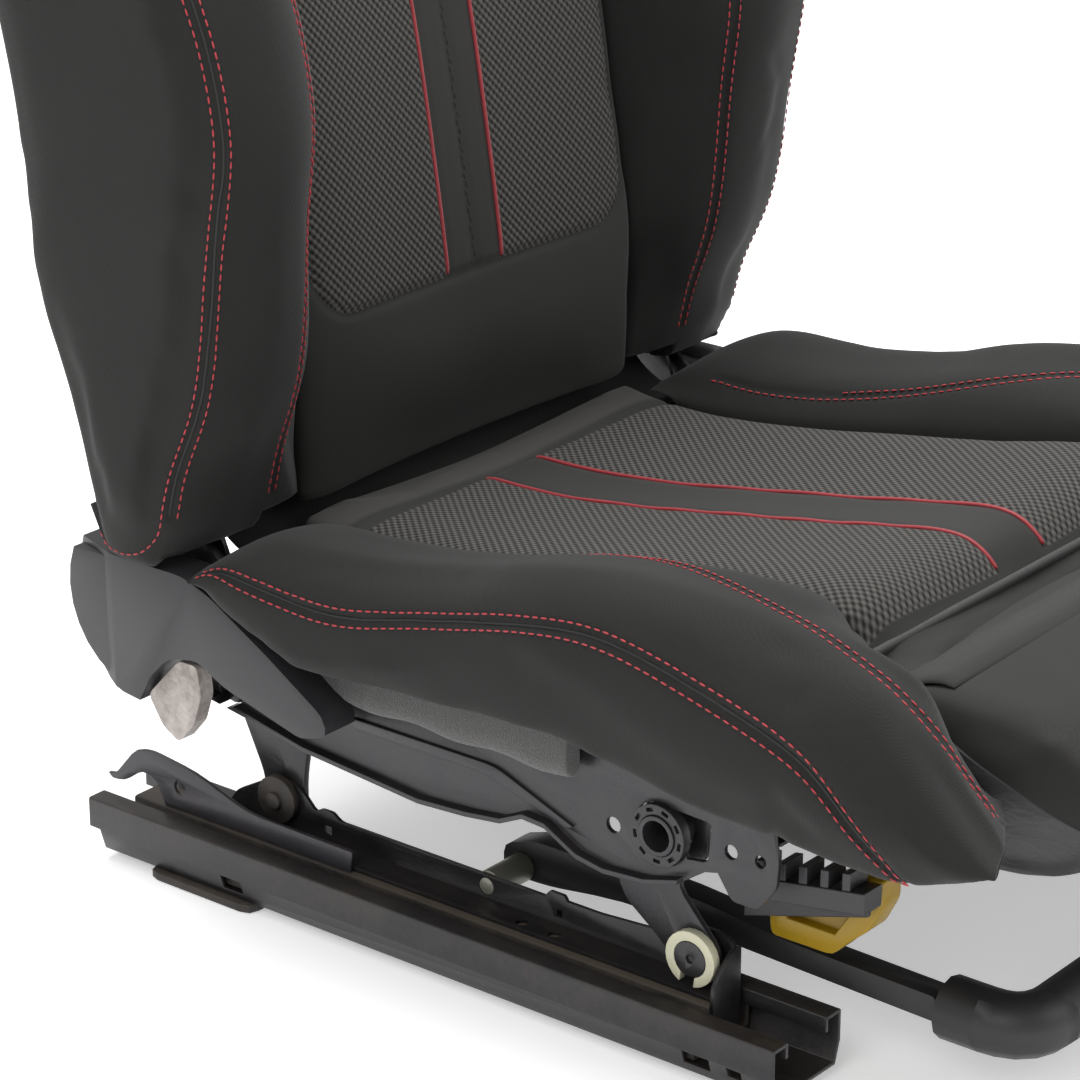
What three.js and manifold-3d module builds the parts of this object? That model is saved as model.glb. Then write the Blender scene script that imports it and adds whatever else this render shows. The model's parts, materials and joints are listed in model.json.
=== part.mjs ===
// A sports car front seat on slide rails, in millimetres.
// +X points to the front of the seat, +Y to the sitter's left, +Z up.
// The origin is at floor level, at the middle of the seat's overall box.
import * as THREE from 'three';
import { mergeVertices } from 'three/addons/utils/BufferGeometryUtils.js';
import Module from 'manifold-3d';

const wasm = await Module();
wasm.setup();

// ---------------------------------------------------------------- driving dimensions

const GAP = 0.3; // between pieces that touch
const RUN = 0.5; // round a shaft that turns

// Slide rails
const RAIL_LENGTH = 480;
const RAIL_SPACING = 400; // between the middles of the two rails
const RAIL_WIDTH = 60;
const RAIL_HEIGHT = 31;
const RAIL_WALL = 2.2;
const RAIL_CREASE = 13; // height of the crease along the side walls
const RAIL_LIP = 13.5; // width of each lip over the channel
const FOOT_THICKNESS = 5;
const UPPER_LENGTH = 408;
const UPPER_START = 19;
const UPPER_WIDTH = 24; // of the part that stands between the lips

// Height linkage: two equal links on each side
const REAR_PIVOT_X = 114;
const LINK_SPREAD = 295.5; // from the rear pivots to the front pivots
const PIVOT_LIFT = 19; // of the bottom pivots above the rails
const LINK_BACK = 12.5; // how far the top pivots sit behind the bottom ones
const LINK_RISE = 71;
const LINK_THICKNESS = 3.5;
const PIN_RADIUS = 6;
const FRONT_TUBE_RADIUS = 11;
const FRONT_TUBE_BORE = 8.5;
const REAR_TUBE_RADIUS = 9;
const WASHER_RADIUS = 15.5;
const BOLT_HEAD_RADIUS = 10;

// Seat frame and recliner
const SHEET = 3; // side member sheet
const FLANGE = 9;
const RECLINE_X = 66;
const RECLINE_RISE = 52; // above the top pivots
const RECLINER_RADIUS = 30;
const COVER_RADIUS = 57;
const COVER_WALL = 2.5;
const TRIM_ROOM = 24; // width of the side covers

// Levers, on the left
const HEIGHT_LEVER_X = 210;
const HEIGHT_LEVER_RISE = 4; // above the top pivots

// Upholstery
const SIDE_ROOM = 62; // from the middle of a rail out to the side of the seat
const PANEL_HALF_WIDTH = 150; // of the middle panels
const SEAT_FRONT = 645; // front of the thigh support, pushed in
const THIGH_START = 500.5;
const PAD_BOTTOM_RISE = 24; // above the top pivots
const BACK_HEIGHT = 686; // above the top pivots
const BACK_DEPTH = 105; // from the front of the back panel to the rear shell
const BACK_PAD_DEPTH = 58;

// Head restraint
const POST_RADIUS = 6;
const POST_SPACING = 140;
const POST_TILT = 16; // degrees from upright
const POST_INSET = 45; // behind the front of the backrest
const HEAD_CLEARANCE = 36; // from the backrest up to the head pad
const HEAD_WIDTH = 270;
const HEAD_HEIGHT = 165;
const HEAD_DEPTH = 100;

const COLLAR = [5, 13]; // where each guide's collar sits along the post
const COLLAR_RADIUS = POST_RADIUS + 9;
const BUTTON_RADIUS = 2.6;
const BUTTON_TRAVEL = 3;

// Release bar
const BAR_PIVOT_X = 262;
const BAR_PIVOT_LIFT = 9; // above the rails
const BAR_REACH = 316; // from the pivot to the middle of the grip
const BAR_HALF_WIDTH = 150;
const BAR_RADIUS = 8;
const GRIP_RADIUS = 17;
const GRIP_BEND = 24;
const BAR_GRIP_LIFT = 10;

// ---------------------------------------------------------------- sizes worked out from them

const HALF = RAIL_SPACING / 2;
const RAIL_TOP = FOOT_THICKNESS + RAIL_HEIGHT;
const RIDE = RAIL_TOP + GAP; // underside of what stands on the upper rail
const PIVOT_HEIGHT = RAIL_TOP + PIVOT_LIFT;
const TOP_Z = PIVOT_HEIGHT + LINK_RISE;
const RECLINE_Z = TOP_Z + RECLINE_RISE;
const PAD_BOTTOM = TOP_Z + PAD_BOTTOM_RISE;
const BACK_TOP = TOP_Z + BACK_HEIGHT;
const LEVER_Z = TOP_Z + HEIGHT_LEVER_RISE;
const BAR_PIVOT_Z = RAIL_TOP + BAR_PIVOT_LIFT;
const BAR_GRIP_Z = RAIL_TOP + BAR_GRIP_LIFT;
const SEAT_HALF_WIDTH = HALF + SIDE_ROOM;

// Distances from the centre plane of what stands side by side, from the inside out
const REAR_LINK_IN = HALF - 16.5;
const RISER_IN = HALF - 12;
const RISER_OUT = RISER_IN + 2.3;
const FRONT_LINK_IN = HALF - 3.5;
const WASHER_IN = FRONT_LINK_IN + LINK_THICKNESS + GAP;
const HOOK_IN = HALF + 8;
const BACK_ARM_IN = HALF + 0.7;
const RECLINER_IN = HALF + 4;
const MEMBER_IN = HALF + 12;
const MEMBER_OUT = MEMBER_IN + SHEET;
const COVER_IN = HALF + 26;
const COVER_OUT = COVER_IN + TRIM_ROOM;
const LEVER_IN = COVER_OUT + GAP;
const LEVER_OUT = SEAT_HALF_WIDTH - 0.5;

const FRONT_PIVOT_X = REAR_PIVOT_X + LINK_SPREAD;
const REAR_TOP_X = REAR_PIVOT_X - LINK_BACK;
const FRONT_TOP_X = FRONT_PIVOT_X - LINK_BACK;
const BAR_FRONT = BAR_PIVOT_X + BAR_REACH;

// ---------------------------------------------------------------- solids

const AXES = {
  x: new THREE.Matrix4().makeBasis(
    new THREE.Vector3(0, 1, 0), new THREE.Vector3(0, 0, 1), new THREE.Vector3(1, 0, 0)),
  y: new THREE.Matrix4().makeBasis(
    new THREE.Vector3(1, 0, 0), new THREE.Vector3(0, 0, 1), new THREE.Vector3(0, -1, 0)),
  z: new THREE.Matrix4(),
};

// A closed three.js geometry as a solid that can be cut and joined.
function solid(geometry) {
  const bare = new THREE.BufferGeometry();
  bare.setAttribute('position', geometry.getAttribute('position'));
  bare.setIndex(geometry.index);
  const merged = mergeVertices(bare, 1e-3);
  const corners = merged.index.array;
  const triVerts = [];
  for (let i = 0; i < corners.length; i += 3) {
    const [a, b, c] = [corners[i], corners[i + 1], corners[i + 2]];
    if (a !== b && b !== c && c !== a) triVerts.push(a, b, c);
  }
  return new wasm.Manifold(new wasm.Mesh({
    numProp: 3,
    vertProperties: Float32Array.from(merged.attributes.position.array),
    triVerts: Uint32Array.from(triVerts),
  }));
}

// An outline through [x, y] or [x, y, corner radius] points. A corner's radius is limited by
// the edges beside it.
function outline(points) {
  const shape = new THREE.Shape();
  const at = (i) => new THREE.Vector2(...points[(i + points.length) % points.length].slice(0, 2));
  points.forEach(([x, y, wanted = 0], i) => {
    const corner = at(i);
    const radius = Math.min(
      wanted, 0.45 * corner.distanceTo(at(i - 1)), 0.45 * corner.distanceTo(at(i + 1)));
    const before = corner.clone().add(at(i - 1).sub(corner).setLength(radius));
    const after = corner.clone().add(at(i + 1).sub(corner).setLength(radius));
    if (i === 0) shape.moveTo(before.x, before.y);
    else shape.lineTo(before.x, before.y);
    if (radius > 0) shape.quadraticCurveTo(x, y, after.x, after.y);
  });
  shape.closePath();
  return shape;
}

// An outline drawn across one axis and pushed along it, from one distance to another.
function bar(axis, points, from, to, smooth = 2) {
  const [low, high] = [Math.min(from, to), Math.max(from, to)];
  const shape = Array.isArray(points) ? outline(points) : points;
  const geometry = new THREE.ExtrudeGeometry(shape, {
    depth: high - low, bevelEnabled: false, curveSegments: smooth,
  });
  geometry.applyMatrix4(AXES[axis]);
  const start = axis === 'y' ? high : low;
  geometry.translate(axis === 'x' ? start : 0, axis === 'y' ? start : 0, axis === 'z' ? start : 0);
  return solid(geometry);
}

function box(x0, x1, y0, y1, z0, z1) {
  return bar('x', [[y0, z0], [y1, z0], [y1, z1], [y0, z1]], x0, x1);
}

// A round bar along one axis. The centre is given across that axis, as [x, y], [x, z] or [y, z].
function rod(axis, [u, v], radius, from, to, sides = 16) {
  const shape = new THREE.Shape();
  for (let i = 0; i < sides; i += 1) {
    const turn = (2 * Math.PI * i) / sides;
    const point = [u + radius * Math.cos(turn), v + radius * Math.sin(turn)];
    if (i === 0) shape.moveTo(...point);
    else shape.lineTo(...point);
  }
  shape.closePath();
  return bar(axis, shape, from, to);
}

// A round bar through [x, y, z] points, with every corner bent to the same radius.
function bentRod(points, radius, bend, sides = 12) {
  const section = new THREE.Shape();
  for (let i = 0; i < sides; i += 1) {
    const turn = (2 * Math.PI * i) / sides;
    const point = [radius * Math.cos(turn), radius * Math.sin(turn)];
    if (i === 0) section.moveTo(...point);
    else section.lineTo(...point);
  }
  section.closePath();
  const along = (path, steps) => outward(new THREE.ExtrudeGeometry(section, {
    extrudePath: path, steps, bevelEnabled: false,
  }));
  const corners = points.map((p) => new THREE.Vector3(...p));
  const toward = (i, j, distance) => corners[i].clone()
    .add(corners[j].clone().sub(corners[i]).setLength(distance));
  const lap = 0.2;
  const pieces = [];
  for (let i = 0; i + 1 < corners.length; i += 1) {
    const from = i === 0 ? corners[0] : toward(i, i + 1, bend - lap);
    const last = i + 2 === corners.length;
    const to = last ? corners[i + 1] : toward(i + 1, i, bend - lap);
    pieces.push(along(new THREE.LineCurve3(from, to), 1));
    if (!last) {
      pieces.push(along(new THREE.QuadraticBezierCurve3(
        toward(i + 1, i, bend), corners[i + 1], toward(i + 1, i + 2, bend)), 5));
    }
  }
  return join(...pieces);
}

// A skin over cross-sections that each hold the same number of [x, y, z] points. They lie
// across X where a section has one x, and else across Z.
function loft(sections) {
  const count = sections[0].length;
  const acrossX = sections[0].every(([x]) => x === sections[0][0][0]);
  const faces = [];
  for (let i = 0; i + 1 < sections.length; i += 1) {
    for (let j = 0; j < count; j += 1) {
      const [a, b] = [i * count + j, i * count + ((j + 1) % count)];
      faces.push(a, b, b + count, a, b + count, a + count);
    }
  }
  for (const end of [0, sections.length - 1]) {
    const flat = sections[end].map(([x, y, z]) => new THREE.Vector2(acrossX ? z : x, y));
    const cap = THREE.ShapeUtils.triangulateShape(flat, []);
    const follows = cap.some(([a, b, c]) => [[a, b], [b, c], [c, a]]
      .some(([from, to]) => to === (from + 1) % count));
    const flip = follows === (end === 0);
    for (const [a, b, c] of cap) {
      faces.push(...(flip ? [b, a, c] : [a, b, c]).map((corner) => corner + end * count));
    }
  }
  const geometry = new THREE.BufferGeometry();
  geometry.setAttribute('position', new THREE.Float32BufferAttribute(sections.flat(2), 3));
  geometry.setIndex(faces);
  return outward(geometry);
}

// Turns a closed geometry's faces outwards where they point in.
function outward(geometry) {
  const flat = geometry.index ? geometry.toNonIndexed() : geometry;
  const p = flat.getAttribute('position');
  const [a, b, c] = [new THREE.Vector3(), new THREE.Vector3(), new THREE.Vector3()];
  let volume = 0;
  for (let i = 0; i < p.count; i += 3) {
    a.fromBufferAttribute(p, i);
    b.fromBufferAttribute(p, i + 1);
    c.fromBufferAttribute(p, i + 2);
    volume += a.dot(b.cross(c));
  }
  const result = flat.clone();
  if (volume < 0) {
    const q = result.getAttribute('position');
    for (let i = 0; i < p.count; i += 3) {
      q.setXYZ(i + 1, p.getX(i + 2), p.getY(i + 2), p.getZ(i + 2));
      q.setXYZ(i + 2, p.getX(i + 1), p.getY(i + 1), p.getZ(i + 1));
    }
  }
  return solid(result);
}

const join = (...solids) => solids.reduce((all, one) => all.add(one));
const cut = (body, ...tools) => tools.reduce((left, tool) => left.subtract(tool), body);

// The height of a line through [x, height] points, at one x.
function level(line, x) {
  const after = line.findIndex(([at]) => at >= x);
  if (after === -1) return line[line.length - 1][1];
  if (after === 0) return line[0][1];
  const [[x0, z0], [x1, z1]] = [line[after - 1], line[after]];
  return z0 + ((z1 - z0) * (x - x0)) / (x1 - x0);
}

// Points given by their height above the top pivots of the height linkage: after x in the
// first kind, before it in the second. The third kind is measured from the recline axis.
const raised = (points) => points.map(([x, z, ...rest]) => [x, TOP_Z + z, ...rest]);
const rising = (points) => points.map(([z, ...rest]) => [TOP_Z + z, ...rest]);
const fromRecliner = (points) => points
  .map(([x, z, ...rest]) => [RECLINE_X + x, RECLINE_Z + z, ...rest]);

// ---------------------------------------------------------------- finishes

const finish = (color, roughness, metalness) => ({ color, roughness, metalness });
const FINISHES = {
  blackSteel: finish(0x26272a, 0.42, 0.6),
  greySteel: finish(0x5c5b5e, 0.45, 0.5),
  dustySteel: finish(0x3c352f, 0.7, 0.4),
  zinc: finish(0x8d917f, 0.4, 0.7),
  chrome: finish(0xb8babd, 0.15, 1),
  blackPlastic: finish(0x2b2a2c, 0.5, 0),
  nylon: finish(0xdcd7ba, 0.5, 0),
  yellowPlastic: finish(0xc79a12, 0.45, 0),
  meshCloth: finish(0x47443f, 0.95, 0),
  cloth: finish(0x2c2c2a, 0.95, 0),
  fleece: finish(0x9b8f84, 0.9, 0),
};

const seat = new THREE.Group();

function add(name, material, body) {
  const { numProp, vertProperties, triVerts } = body.getMesh();
  const geometry = new THREE.BufferGeometry();
  const positions = [];
  for (const corner of triVerts) {
    positions.push(...vertProperties.slice(corner * numProp, corner * numProp + 3));
  }
  geometry.setAttribute('position', new THREE.Float32BufferAttribute(positions, 3));
  geometry.computeVertexNormals();
  const mesh = new THREE.Mesh(geometry, new THREE.MeshStandardMaterial(FINISHES[material]));
  mesh.name = name;
  seat.add(mesh);
}

const SIDES = [['right', -1], ['left', 1]];

// ---------------------------------------------------------------- slide rails

function lowerRail(s) {
  const half = RAIL_WIDTH / 2;
  const foot = half - 4;
  const inner = half - RAIL_WALL;
  const lip = half - RAIL_LIP;
  const [floor, crease, top] = [FOOT_THICKNESS, FOOT_THICKNESS + RAIL_CREASE, RAIL_TOP];
  const drop = top - 9;
  const right = [
    [foot, floor], [half, crease], [half, top, 1.5], [lip, top, 1.5], [lip, drop],
    [lip + RAIL_WALL, drop], [lip + RAIL_WALL, top - RAIL_WALL], [inner, top - RAIL_WALL],
    [inner, crease + 0.5], [foot - 1.7, floor + RAIL_WALL],
  ];
  const left = right.map(([y, ...rest]) => [-y, ...rest]).reverse();
  const middle = s * HALF;
  const section = [...right, ...left].map(([y, ...rest]) => [middle + y, ...rest]);
  const wall = middle + s * half;
  const window = (x0, x1, z0, z1) => box(x0, x1, Math.min(wall, wall - s * 8),
    Math.max(wall, wall - s * 8) + 1, floor + z0, floor + z1);
  return cut(
    bar('x', section, 0, RAIL_LENGTH),
    box(-1, 8, middle - RAIL_WIDTH, middle + RAIL_WIDTH, 0, crease),
    window(102, 117, 4, 12.5),
    window(RAIL_LENGTH - 57, RAIL_LENGTH - 40, 5, 12.5),
    window(RAIL_LENGTH - 29, RAIL_LENGTH - 20, 6.5, 12),
  );
}

function upperRail(s) {
  const half = UPPER_WIDTH / 2;
  const foot = half + 12.2;
  const [base, curl] = [FOOT_THICKNESS + 5, RAIL_TOP - 9];
  const right = [
    [half, RAIL_TOP, 1.5], [half, base + RAIL_WALL], [foot - RAIL_WALL, base + RAIL_WALL],
    [foot - RAIL_WALL, curl], [foot, curl], [foot, base], [half - RAIL_WALL, base],
    [half - RAIL_WALL, RAIL_TOP - RAIL_WALL],
  ];
  const left = right.map(([y, ...rest]) => [-y, ...rest]).reverse();
  const section = [...right, ...left].map(([y, ...rest]) => [s * HALF + y, ...rest]);
  const end = UPPER_START + UPPER_LENGTH;
  return bar('x', section, UPPER_START, end);
}

function rearFoot(s) {
  const plate = bar('z', [
    [46, s * (HALF - 30)], [125, s * (HALF - 30)], [125, s * (HALF + 31), 8],
    [46, s * (HALF + 31), 8],
  ], 0, FOOT_THICKNESS - GAP);
  return cut(plate, rod('z', [64, s * (HALF + 18)], 5, -1, FOOT_THICKNESS));
}

function frontFoot(s) {
  const end = RAIL_LENGTH - 20;
  const plate = bar('z', [
    [end - 70, s * (HALF - 15), 5], [end, s * (HALF - 15), 5], [end, s * (HALF + 15), 5],
    [end - 70, s * (HALF + 15), 5],
  ], 0, FOOT_THICKNESS - GAP);
  return cut(plate, rod('z', [end - 14, s * HALF], 5, -1, FOOT_THICKNESS));
}

// The bracket on the upper rail: a foot along the rail, a web with an ear for each link,
// and an end wall folded round in front of the rail.
function riser(s) {
  const end = UPPER_START + UPPER_LENGTH + GAP;
  const ear = PIVOT_HEIGHT + 12;
  const web = bar('y', [
    [REAR_PIVOT_X - 44, RIDE], [end, RIDE], [end, ear - 4, 5], [end - 8, ear, 4],
    [FRONT_PIVOT_X - 6, ear, 6], [FRONT_PIVOT_X - 28, RAIL_TOP + 20, 5],
    [FRONT_PIVOT_X - 70, RAIL_TOP + 17, 3], [FRONT_PIVOT_X - 92, RAIL_TOP + 17],
    [FRONT_PIVOT_X - 94, RAIL_TOP + 20, 1], [FRONT_PIVOT_X - 104, RAIL_TOP + 20, 1],
    [FRONT_PIVOT_X - 107, RAIL_TOP + 16], [REAR_PIVOT_X + 43, RAIL_TOP + 16, 3],
    [REAR_PIVOT_X + 38, RAIL_TOP + 20, 2], [REAR_PIVOT_X + 29, RAIL_TOP + 20, 2],
    [REAR_PIVOT_X + 25, RAIL_TOP + 17, 3], [REAR_PIVOT_X + 14, ear - 3, 5],
    [REAR_PIVOT_X - 2, ear + 1, 8], [REAR_PIVOT_X - 18, ear - 8, 6],
    [REAR_PIVOT_X - 34, RAIL_TOP + 14, 3],
  ], s * RISER_IN, s * RISER_OUT);
  const [inside, outside] = [s * RISER_IN, s * (HOOK_IN - 0.5)].sort((a, b) => a - b);
  const foot = box(REAR_PIVOT_X - 44, end, inside, outside, RIDE, RIDE + 2);
  const wall = bar('x', [
    [s * RISER_IN, RAIL_TOP - 19], [s * (HALF + 11.5), RAIL_TOP - 19], [s * (HALF + 11.5), RAIL_TOP + 12, 6],
    [s * (RISER_IN + 8), ear - 5, 6], [s * RISER_IN, ear - 5],
  ], end, end + 2.3);
  const square = (x) => box(x, x + 6, Math.min(s * RISER_IN, s * RISER_OUT) - 1,
    Math.max(s * RISER_IN, s * RISER_OUT) + 1, RAIL_TOP + 6, RAIL_TOP + 11);
  const slot = (x) => rod('z', [x, s * (HALF + 1)], 3.6, RIDE - 1, RIDE + 3, 12);
  return cut(
    join(web, foot, wall),
    rod('y', [FRONT_PIVOT_X, PIVOT_HEIGHT], PIN_RADIUS + GAP, s * (RISER_IN - 2), s * (RISER_OUT + 2)),
    rod('y', [REAR_PIVOT_X, PIVOT_HEIGHT], PIN_RADIUS + GAP, s * (RISER_IN - 2), s * (RISER_OUT + 2)),
    rod('y', [BAR_PIVOT_X, BAR_PIVOT_Z], 5 + GAP, s * (RISER_IN - 2), s * (RISER_OUT + 2)),
    square(REAR_PIVOT_X + 31),
    square(FRONT_PIVOT_X - 101),
    slot(FRONT_PIVOT_X - 114),
    slot(FRONT_PIVOT_X - 92),
  );
}

// The hooked plate at the rear outer edge of the upper rail.
function rearHook(s) {
  const x = REAR_PIVOT_X;
  const plate = bar('y', [
    [x - 72, RIDE], [x + 68, RIDE], [x + 70, RAIL_TOP + 13, 2], [x - 8, RAIL_TOP + 14, 10],
    [x - 48, RAIL_TOP + 27, 10], [x - 81, RAIL_TOP + 31, 4], [x - 94, RAIL_TOP + 29, 6],
    [x - 111, RAIL_TOP + 9, 4], [x - 117, RAIL_TOP + 8], [x - 114, RAIL_TOP + 5, 2],
    [x - 104, RAIL_TOP + 6, 5], [x - 89, RAIL_TOP + 17, 6], [x - 78, RAIL_TOP + 13, 4],
  ], s * HOOK_IN, s * (HOOK_IN + 2.5));
  return cut(plate, rod('y', [x - 60, RAIL_TOP + 14], 4.5, s * (HOOK_IN - 1), s * (HOOK_IN + 4), 16));
}

function frontPivotBolt(s) {
  const at = [FRONT_PIVOT_X, PIVOT_HEIGHT];
  return cut(
    join(
      rod('y', at, PIN_RADIUS, s * (RISER_IN - 2.5), s * WASHER_IN),
      rod('y', at, BOLT_HEAD_RADIUS, s * WASHER_IN, s * (WASHER_IN + 5.2), 20),
    ),
    rod('y', at, 2.6, s * (WASHER_IN + 3), s * (WASHER_IN + 6), 6),
  );
}

function rearPivotBolt(s) {
  const at = [REAR_PIVOT_X, PIVOT_HEIGHT];
  const outer = s * (RISER_OUT + GAP);
  return join(
    rod('y', at, PIN_RADIUS, s * (REAR_LINK_IN - 2), outer),
    rod('y', at, 14, outer, outer + s * 5),
    rod('y', at, 5, outer + s * 5, outer + s * 8, 12),
  );
}

// The thrust washer under the front bolt's head, with two notches in its rim.
function nylonWasher(s) {
  const at = [FRONT_PIVOT_X, PIVOT_HEIGHT];
  const [near, far] = [s * WASHER_IN, s * (WASHER_IN + 5)];
  const notch = (angle, width) => {
    const solidBar = box(-width / 2, width / 2, Math.min(near, far) - 1, Math.max(near, far) + 1, 0, 20);
    return solidBar.rotate([0, angle, 0]).translate([at[0], 0, at[1]]);
  };
  return cut(
    rod('y', at, WASHER_RADIUS, near, far, 24),
    rod('y', at, BOLT_HEAD_RADIUS + GAP, s * (WASHER_IN - 1), s * (WASHER_IN + 6), 20),
    notch(-172, 9),
  );
}

// The pivot that the release bar turns on, with its zinc-plated spring barrel.
function releasePivot(s) {
  const at = [BAR_PIVOT_X, BAR_PIVOT_Z];
  return join(
    rod('y', at, 5, s * (BAR_HALF_WIDTH - 12), s * (RISER_OUT - 0.3), 16),
    rod('y', at, 8.3, s * (BAR_HALF_WIDTH + 9), s * (RISER_IN - GAP)),
  );
}

for (const [side, s] of SIDES) {
  add(`lower_rail_${side}`, 'blackSteel', lowerRail(s));
  add(`rear_foot_${side}`, 'dustySteel', rearFoot(s));
  add(`front_foot_${side}`, 'dustySteel', frontFoot(s));
  add(`upper_rail_${side}`, 'dustySteel', upperRail(s));
  add(`riser_bracket_${side}`, 'blackSteel', riser(s));
  add(`rear_hook_${side}`, 'greySteel', rearHook(s));
  add(`front_pivot_bolt_${side}`, 'greySteel', frontPivotBolt(s));
  add(`rear_pivot_bolt_${side}`, 'dustySteel', rearPivotBolt(s));
  add(`nylon_washer_${side}`, 'nylon', nylonWasher(s));
  add(`release_pivot_${side}`, 'zinc', releasePivot(s));
}

// ---------------------------------------------------------------- height linkage

function frontLink(s) {
  const [x, z] = [FRONT_PIVOT_X, PIVOT_HEIGHT];
  const [top, high] = [FRONT_TOP_X, TOP_Z];
  const plate = bar('y', [
    [x - 10, z - 12, 8], [x + 14, z - 14, 12], [x + 16, z + 5, 8], [x - 14, z + 38, 8],
    [top + 19, high - 14, 6], [top + 18, high + 17, 14], [top - 18, high + 17, 14],
    [top - 26, high - 14, 8], [x - 52, z + 32, 8], [x - 46, z + 19, 6], [x - 24, z + 3, 6],
  ], s * FRONT_LINK_IN, s * (FRONT_LINK_IN + LINK_THICKNESS), 3);
  return cut(
    plate,
    rod('y', [x, z], PIN_RADIUS + RUN, s * (FRONT_LINK_IN - 1), s * (FRONT_LINK_IN + 5)),
    rod('y', [top, high], FRONT_TUBE_RADIUS + GAP, s * (FRONT_LINK_IN - 1), s * (FRONT_LINK_IN + 5), 20),
  );
}

function rearLink(s) {
  const [x, z] = [REAR_PIVOT_X, PIVOT_HEIGHT];
  const [top, high] = [REAR_TOP_X, TOP_Z];
  const inner = s * REAR_LINK_IN;
  const outer = s * (REAR_LINK_IN + 4);
  const plate = bar('y', [
    [x - 14, z - 14, 12], [x + 15, z - 14, 12], [x + 14, z + 12, 10], [x + 19, z + 40, 10],
    [top + 18, high + 15, 14], [top - 17, high + 15, 14], [top - 22, high - 22, 12],
    [x - 15, z + 8, 8],
  ], inner, outer, 3);
  return cut(
    plate,
    rod('y', [x, z], PIN_RADIUS + RUN, s * (REAR_LINK_IN - 1), s * (REAR_LINK_IN + 5)),
    rod('y', [top, high], REAR_TUBE_RADIUS + GAP, s * (REAR_LINK_IN - 1), s * (REAR_LINK_IN + 5)),
  );
}

function torsionTube() {
  const at = [FRONT_TOP_X, TOP_Z];
  const end = MEMBER_OUT + 4;
  return cut(
    rod('y', at, FRONT_TUBE_RADIUS, -end, end, 20),
    rod('y', at, FRONT_TUBE_BORE, -end - 1, end + 1, 16),
  );
}

for (const [side, s] of SIDES) {
  add(`front_link_${side}`, 'greySteel', frontLink(s));
  add(`rear_link_${side}`, 'greySteel', rearLink(s));
}
add('torsion_tube', 'greySteel', torsionTube());
add('rear_cross_tube', 'blackSteel',
  rod('y', [REAR_TOP_X, TOP_Z], REAR_TUBE_RADIUS, -(MEMBER_IN + 1), MEMBER_IN + 1));

// ---------------------------------------------------------------- seat frame

// Underside of the side bolsters of the cushion, as [x, height]
const BOLSTER_BOTTOM = raised([[102, 79], [121, 74], [133, 66], [172, 52], [185, 47],
  [351, 54], [406, 47], [457, 40], [557, 36], [621, 56]]);

function sideMember(s) {
  const [f, t] = [FRONT_TOP_X, TOP_Z];
  const r = REAR_TOP_X;
  const span = f - r;
  const along = (share) => r + share * span;
  const lower = [
    [r - 20, t - 6], [r + 17, t - 12], [along(0.19), t - 20], [along(0.36), t - 24],
    [along(0.47), t - 27], [along(0.58), t - 25], [along(0.66), t - 22], [along(0.71), t - 15],
    [along(0.76), t - 16], [along(0.83), t - 27], [along(0.89), t - 30], [f - 6, t - 28],
    [f + 15, t - 22], [f + 28, t - 13], [f + 36, t - 11],
  ];
  const bracket = [[f + 45, t - 24, 3], [f + 61, t - 24, 3], [f + 72, t - 9, 3], [f + 73, t + 6, 2]];
  const upper = [
    [f + 66, t + 36, 6], [f + 40, t + 38, 4], [f - 20, t + 46, 10],
    [along(0.4), t + 45, 10], [r + 60, t + 44, 8], [r + 30, t + 50, 8], [RECLINE_X + 31, RECLINE_Z + 20, 12],
    [RECLINE_X + 20, RECLINE_Z + 30, 12], [RECLINE_X - 20, RECLINE_Z + 30, 14],
    [RECLINE_X - 32, RECLINE_Z + 12, 14], [RECLINE_X - 30, RECLINE_Z - 22, 12],
  ];
  const plate = bar('y', [...lower, ...bracket, ...upper], s * MEMBER_IN, s * MEMBER_OUT);
  const edge = lower.slice(0, -2);
  const flange = bar('y', [
    ...edge, ...edge.map(([x, z]) => [x, z + SHEET]).reverse(),
  ], s * MEMBER_IN, s * (MEMBER_IN + FLANGE));
  const ridge = bar('y', [
    [along(0.3), t + 8, 3], [along(0.64), t + 8, 6], [along(0.82), t - 12, 3],
    [along(0.79), t - 14, 3], [along(0.62), t + 2, 6], [along(0.3), t + 2, 3],
  ], s * (MEMBER_OUT - 0.5), s * (MEMBER_OUT + 2.5));
  const [near, far] = [s * (MEMBER_IN - 2), s * (MEMBER_OUT + 6)];
  return cut(
    join(plate, flange, ridge),
    rod('y', [f, t], 17.4, near, far, 24),
    rod('y', [r, t], REAR_TUBE_RADIUS + RUN, near, far),
    bar('y', [[f + 6, t + 16, 2], [f + 32, t + 15, 3], [f + 30, t - 7, 3], [f + 17, t - 9]],
      near, far),
    rod('y', [f - 30, t - 4], 4.5, near, far, 14),
    rod('y', [f + 44, t + 3], 4, near, far, 14),
    rod('y', [f + 62, t + 3], 3.4, near, far, 14),
  );
}

// A slotted ring that carries the torsion tube in the side member.
function tubeBush(s) {
  const at = [FRONT_TOP_X, TOP_Z];
  const ring = cut(
    rod('y', at, 17, s * MEMBER_IN, s * (MEMBER_OUT + 3), 24),
    rod('y', at, FRONT_TUBE_RADIUS + RUN, s * (MEMBER_IN - 1), s * (MEMBER_OUT + 4), 20),
  );
  const slots = [10, 50, 90, 130, 170, 210, 250, 290, 330].map((angle) => {
    const low = Math.min(s * (MEMBER_OUT + 0.5), s * (MEMBER_OUT + 4));
    return box(13, 15.2, low, low + 3.5, -2.2, 2.2)
      .rotate([0, angle, 0]).translate([at[0], 0, at[1]]);
  });
  return cut(ring, ...slots);
}

function recliner(s) {
  const at = [RECLINE_X, RECLINE_Z];
  return join(
    rod('y', at, RECLINER_RADIUS, s * RECLINER_IN, s * (MEMBER_IN - GAP), 24),
    rod('y', at, 9, s * (BACK_ARM_IN - 3), s * RECLINER_IN, 16),
  );
}

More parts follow.
